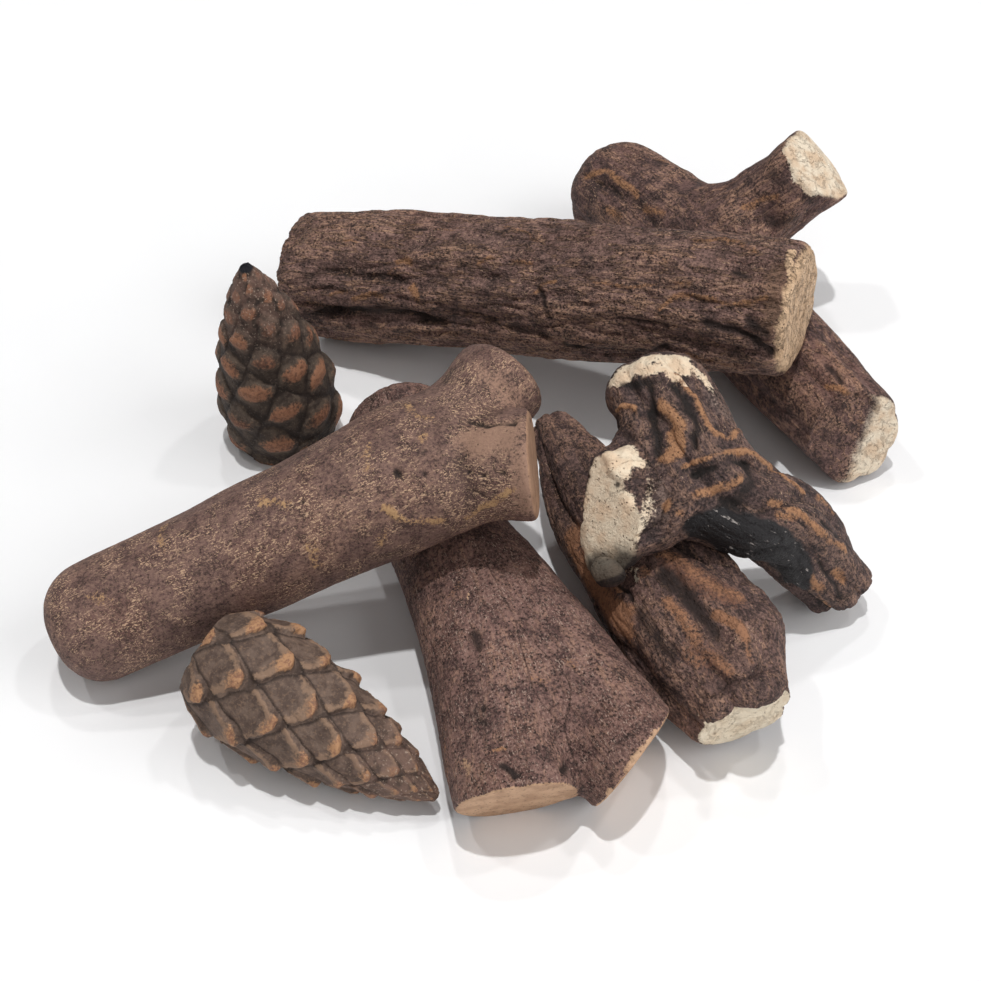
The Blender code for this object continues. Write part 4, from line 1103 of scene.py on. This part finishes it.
# The scales' lift, 0 to about 1: a plate that rises from the low corner, a lip of
# exp(-((rim - 0.17) / 0.13)^2) before the rim, a swollen patch of exp(-|side / wide|^2.6 - (height / tall)^2)
# and a dish. The finish reads the layers
def coneRelief(cone, share, turn, smooth, plain):
    a, b, lot, otherLot = coneLattice(cone, share, turn, plain)
    rim = softJoined(1 - a, 1 - b, cone["blend"])
    rim = rim + 0.045 * cloud(plain / 0.006, 2, 0.6, cone["seed"] + 5).reshape(share.shape)
    root = np.minimum(a, b)
    plate = 0.5 * eased(root, 0.0, 0.8)
    fall = eased(rim, 0.0, 0.09)
    lip = np.exp(-((rim - 0.17) / 0.13) ** 2)
    slim = (1 - share) ** (1 / 3)
    middle = cone["middle"]
    sideways = ((b - middle) / golden ** 6 - (a - middle) / golden ** 5) * math.tau * smooth
    below = (5 * (middle - a) + 8 * (middle - b)) * taper * slim / scaleCount * cone["length"]
    wide, tall, drop = cone["patch"]
    patch = np.exp(-np.abs((sideways + (otherLot - 0.5) * 0.004) / (wide * smooth)) ** 2.6
                   - ((below / slim - drop) / tall) ** 2) * eased(rim, 0.0, 0.08)
    dish = np.exp(-((a - 0.45) ** 2 + (b - 0.45) ** 2) / 0.06)
    lift = 0.12 + (cone["plate"] * plate + cone["edge"] * lip * (0.7 + 0.6 * lot)) * fall
    lift = lift + cone["swell"] * patch - cone["dish"] * dish
    # painted shade: dark in the groove at each rim and root, where the lip above throws its shadow, and round
    # each patch
    grooveShade = (1 - eased(rim, -0.03, 0.04)) * 0.8 + (1 - eased(root, 0, 0.16))
    recessShade = grooveShade * cone["depth"] + (1 - eased(patch, 0.0, 0.5)) * cone["shadeRoundPatch"]
    return lift, {"lip": patch, "edge": lip * fall, "lot": lot, "share": share, "recessShade": recessShade}


# Radius at height share h, the profile above plus the relief. Below, rings shrink towards the middle, a
# little hollow, above stands one small ring, and a point closes each end
def coneSkin(cone):
    rows, columns = coneGrid
    share = np.linspace(0, 0.992, rows)[:, None] * np.ones(columns)
    turn = np.linspace(0, 1, columns, endpoint=False)[None, :] * np.ones((rows, 1))
    angle = math.tau * turn
    smooth = np.interp(share, coneHeights, coneRadii) * cone["diameter"] / 2
    plain = np.stack([smooth * np.cos(angle), smooth * np.sin(angle), share * cone["length"]], axis=-1)
    plain = plain.reshape(-1, 3)
    lift, layers = coneRelief(cone, share, turn, smooth, plain)
    fade = 1 - eased(share, 0.72, 0.94) * 0.75
    grit = cloud(plain / 0.0024, 2, 0.6, cone["seed"] + 9).reshape(rows, columns)
    radius = smooth + 0.0048 * (lift - 0.5) * np.sqrt(smooth / cone["diameter"]) * fade + 0.00016 * grit
    side = np.stack([radius * np.cos(angle), radius * np.sin(angle),
                     share * cone["length"] + 0.0012 * layers["edge"] * fade], axis=-1)
    inner = np.linspace(0.02, 0.97, baseRings)[:, None, None]
    base = side[:1] * np.array([1, 1, 0]) * inner
    base[..., 2] = side[:1, :, 2] + 0.0022 * (1 - (inner[..., 0] - 0.85) ** 2 / 0.72) - 0.002
    tip = side[-1:] * np.array([0.05, 0.05, 1]) + np.array([0, 0, 0.0006])
    rings = np.concatenate([base, side, tip])
    ends = np.stack([base[0].mean(axis=0), tip[0].mean(axis=0)])
    spread = {}
    for key, values in layers.items():
        # the flat base gets half of the painted shade
        under = 0.5 if key == "recessShade" else 0.0
        below = np.full((baseRings, columns), under)
        spread[key] = np.append(np.concatenate([below, values, values[-1:]]), [under, values[-1].mean()])
    return rings, ends, spread


# The cone's rings and end points in the set's frame, each end closed by a fan of triangles
def buildCone(cone):
    rings, ends, layers = coneSkin(cone)
    rows, columns = rings.shape[:2]
    first = np.arange(columns)
    second = np.roll(first, -1)
    top = (rows - 1) * columns
    lowEnd = np.stack([second, first, np.full(columns, rows * columns)], axis=-1)
    highEnd = np.stack([top + first, top + second, np.full(columns, rows * columns + 1)], axis=-1)
    faces = ringFaces(rows, columns).tolist() + lowEnd.tolist() + highEnd.tolist()
    world = np.vstack([rings.reshape(-1, 3), ends]) @ cone["spin"].T + np.array(cone["place"])
    world[:, 2] = np.maximum(world[:, 2], floorGap)
    piece = newMesh(cone["name"], world, faces)
    for key, values in layers.items():
        give(piece, key, values)
    dress(piece, cone)


# Painted cone: dark browns, orange brushed on each scale's patch, lighter rims, painted shade in the
# grooves and round each patch, a speckled and browner tip, and a charred point
def coneFinish(name, look):
    kit = Kit(name)
    place = kit.node("ShaderNodeTexCoord", output="Object")
    fine = kit.noise(place, 0.0014, 3.0, 0.65)
    medium = kit.noise(place, 0.005, 4.0, 0.6)
    speckle = fine - 0.5
    mottle = medium - 0.5
    lip = kit.attribute("lip")
    lot = kit.attribute("lot")
    share = kit.attribute("share")
    colour = kit.mix(medium.stepped(0.38, 0.64), look["dark"], look["mid"])
    colour = kit.mix(fine.stepped(0.5, 0.7) * 0.4, colour, look["light"])
    # painted shade in the grooves and round each patch, towards deep
    recessShade = (kit.attribute("recessShade") + speckle * 0.6).stepped(0.25, 0.9)
    colour = kit.mix(recessShade * 0.9, colour, look["deep"])
    edge = (kit.attribute("edge") + mottle * 1.2 + speckle * 0.9).stepped(0.55, 0.95)
    colour = kit.mix(edge * look["edging"], colour, look["light"])
    brush = (lip * (lot * 0.6 + 0.6) + mottle * 0.8 + speckle * 0.9).stepped(0.30, 0.72)
    hue = kit.mix((fine + (lot - 0.5) * 0.2).stepped(0.36, 0.62), look["orangeDark"], look["orange"])
    colour = kit.mix(brush * lip.stepped(0.04, 0.3) * 0.95, colour, hue)
    browned = share.stepped(0.55, 0.9) * medium.stepped(0.35, 0.6)
    colour = kit.mix(browned * 0.6, colour, look["tipTone"])
    specks = kit.noise(place, 0.0011, 2.0, 0.5).stepped(0.60, 0.68)
    colour = kit.mix(specks * (share.stepped(0.6, 0.9) * 0.6 + 0.12), colour, look["speck"])
    colour = kit.mix(share.stepped(0.972, 0.984) * look["char"], colour, look["charTone"])
    kit.put("Base Color", colour)
    kit.put("Roughness", fine * 0.2 + 0.66)
    kit.put("Normal", kit.bump(fine * 0.6 + medium * 0.4, 0.0008))
    kit.shader.inputs["Specular IOR Level"].default_value = 0.3
    return kit.material


coneLook = {
    "dark": (0.045, 0.031, 0.024), "mid": (0.105, 0.075, 0.055), "light": (0.19, 0.14, 0.105),
    "deep": (0.020, 0.013, 0.011), "orange": (0.34, 0.160, 0.090), "orangeDark": (0.18, 0.078, 0.048),
    "edging": 0.15, "speck": (0.46, 0.35, 0.27), "tipTone": (0.20, 0.115, 0.090),
    "char": 1.0, "charTone": (0.012, 0.012, 0.016),
}


# Turn by an angle about an axis, K its cross product matrix: I + sin(angle) K + (1 - cos(angle)) K K
def about(axis, angle):
    x, y, z = axis
    cross = np.array([[0, -z, y], [z, 0, -x], [-y, x, 0]])
    sine, cosine = math.sin(math.radians(angle)), math.cos(math.radians(angle))
    return np.eye(3) + sine * cross + (1 - cosine) * cross @ cross


# A patch is (width as a share of the radius, height, drop), both in metres. plate, edge, swell and dish
# are strengths of the relief, the two after them those of the painted shade in the grooves and round each
# patch
standingCone = {
    "name": "standingConeScales", "node": "standing_cone", "slot": "standing_cone_scales", "seed": 5,
    "length": 0.113, "diameter": 0.0565, "place": (-0.10066, 0.03515, -0.00369),
    "spin": about(heading(-48), 7.5),
    "patch": (0.34, 0.0054, -0.0010), "middle": 0.5, "blend": 0.5, "plate": 0.30, "edge": 0.05,
    "swell": 0.72, "dish": 0.0, "depth": 0.30, "shadeRoundPatch": 0.50,
    "finish": coneFinish("standingCone", coneLook),
}
buildCone(standingCone)

lyingCone = {
    "name": "lyingConeScales", "node": "lying_cone", "slot": "lying_cone_scales", "seed": 8,
    "length": 0.112, "diameter": 0.0550, "place": (-0.11866, -0.14079, 0.03677),
    "spin": turned(-29.0, 103.97),
    "patch": (0.24, 0.0056, -0.0010), "middle": 0.74, "blend": 0.55, "plate": 1.0, "edge": 0.42,
    "swell": 0.22, "dish": 0.30, "depth": 0.75, "shadeRoundPatch": 0.0,
    "finish": coneFinish("lyingCone", coneLook | {
        "dark": (0.092, 0.060, 0.047), "mid": (0.165, 0.112, 0.086), "light": (0.30, 0.190, 0.125),
        "orange": (0.46, 0.25, 0.13), "orangeDark": (0.26, 0.125, 0.075), "char": 0.0, "edging": 0.75,
    }),
}
buildCone(lyingCone)


# Floor, light and camera

floorHalf = 4.0
floorCorners = np.array([[-1, -1, 0], [1, -1, 0], [1, 1, 0], [-1, 1, 0]]) * floorHalf
floor = newMesh("floor", floorCorners, [[0, 1, 2, 3]])
floorKit = Kit("floor")
floorPlace = floorKit.node("ShaderNodeTexCoord", output="Object")
floorTone = floorKit.noise(floorPlace, 0.05, 3.0, 0.5).stepped(0.2, 0.8)
floorKit.put("Base Color", floorKit.mix(floorTone, (0.95, 0.95, 0.955), (0.965, 0.965, 0.97)))
floorKit.put("Roughness", floorTone * 0.05 + 0.55)
floorKit.shader.inputs["Specular IOR Level"].default_value = 0.2
floor.data.materials.append(floorKit.material)


# A lamp of parallel light. Level is what it gives a white surface that faces it, spread is in degrees
def sun(name, level, spread, towards):
    lamp = bpy.data.lights.new(name, "SUN")
    lamp.energy = level * math.pi
    lamp.angle = math.radians(spread)
    shown = bpy.data.objects.new(name, lamp)
    bpy.context.scene.collection.objects.link(shown)
    way = np.array(towards, float)
    tip = math.acos(-way[2] / np.linalg.norm(way))
    shown.rotation_euler = (tip, 0, math.atan2(way[1], way[0]) - math.pi / 2)


sun("overhead", 0.43, 2, (0.03, 0.03, -1))
sun("backLamp", 0.10, 3, (0.0, -0.45, -1))
sun("leftLamp", 0.10, 3, (0.50, -0.20, -1))
sun("rightLamp", 0.08, 3, (-0.45, -0.20, -1))
sun("frontFill", 0.17, 60, (0.0, 1.0, -0.7))
sun("rightFill", 0.38, 50, (-1.0, 0.35, -0.7))

# White where the camera sees it, weak as a light
skyLight = 0.10
skyShown = 1.0
world = bpy.data.worlds.new("studio")
bpy.context.scene.world = world
world.use_nodes = True
worldBack = world.node_tree.nodes["Background"]
worldBack.inputs["Color"].default_value = (1, 1, 1, 1)
lightPath = world.node_tree.nodes.new("ShaderNodeLightPath")
worldLevel = world.node_tree.nodes.new("ShaderNodeMapRange")
worldLevel.inputs["To Min"].default_value = skyLight
worldLevel.inputs["To Max"].default_value = skyShown
world.node_tree.links.new(lightPath.outputs["Is Camera Ray"], worldLevel.inputs["Value"])
world.node_tree.links.new(worldLevel.outputs["Result"], worldBack.inputs["Strength"])

# The photograph's side: a point of the floor, how far the camera is from it, its angle above the floor,
# and its focal length in pixels of the photograph's width
lookAt = (-0.00266, -0.00685)
cameraAway = 0.940
cameraAngle = 44
focalPixels = 2000
photoPixels = 981
camera = bpy.data.objects.new("camera", bpy.data.cameras.new("camera"))
bpy.context.scene.collection.objects.link(camera)
camera.location = (lookAt[0], lookAt[1] - cameraAway * math.cos(math.radians(cameraAngle)),
                   cameraAway * math.sin(math.radians(cameraAngle)))
camera.rotation_euler = (math.radians(90 - cameraAngle), 0, 0)
camera.data.sensor_width = 36
camera.data.lens = focalPixels / photoPixels * camera.data.sensor_width
bpy.context.scene.camera = camera
bpy.context.scene.view_settings.view_transform = "Standard"
print("placed the floor, the lamps and the camera")
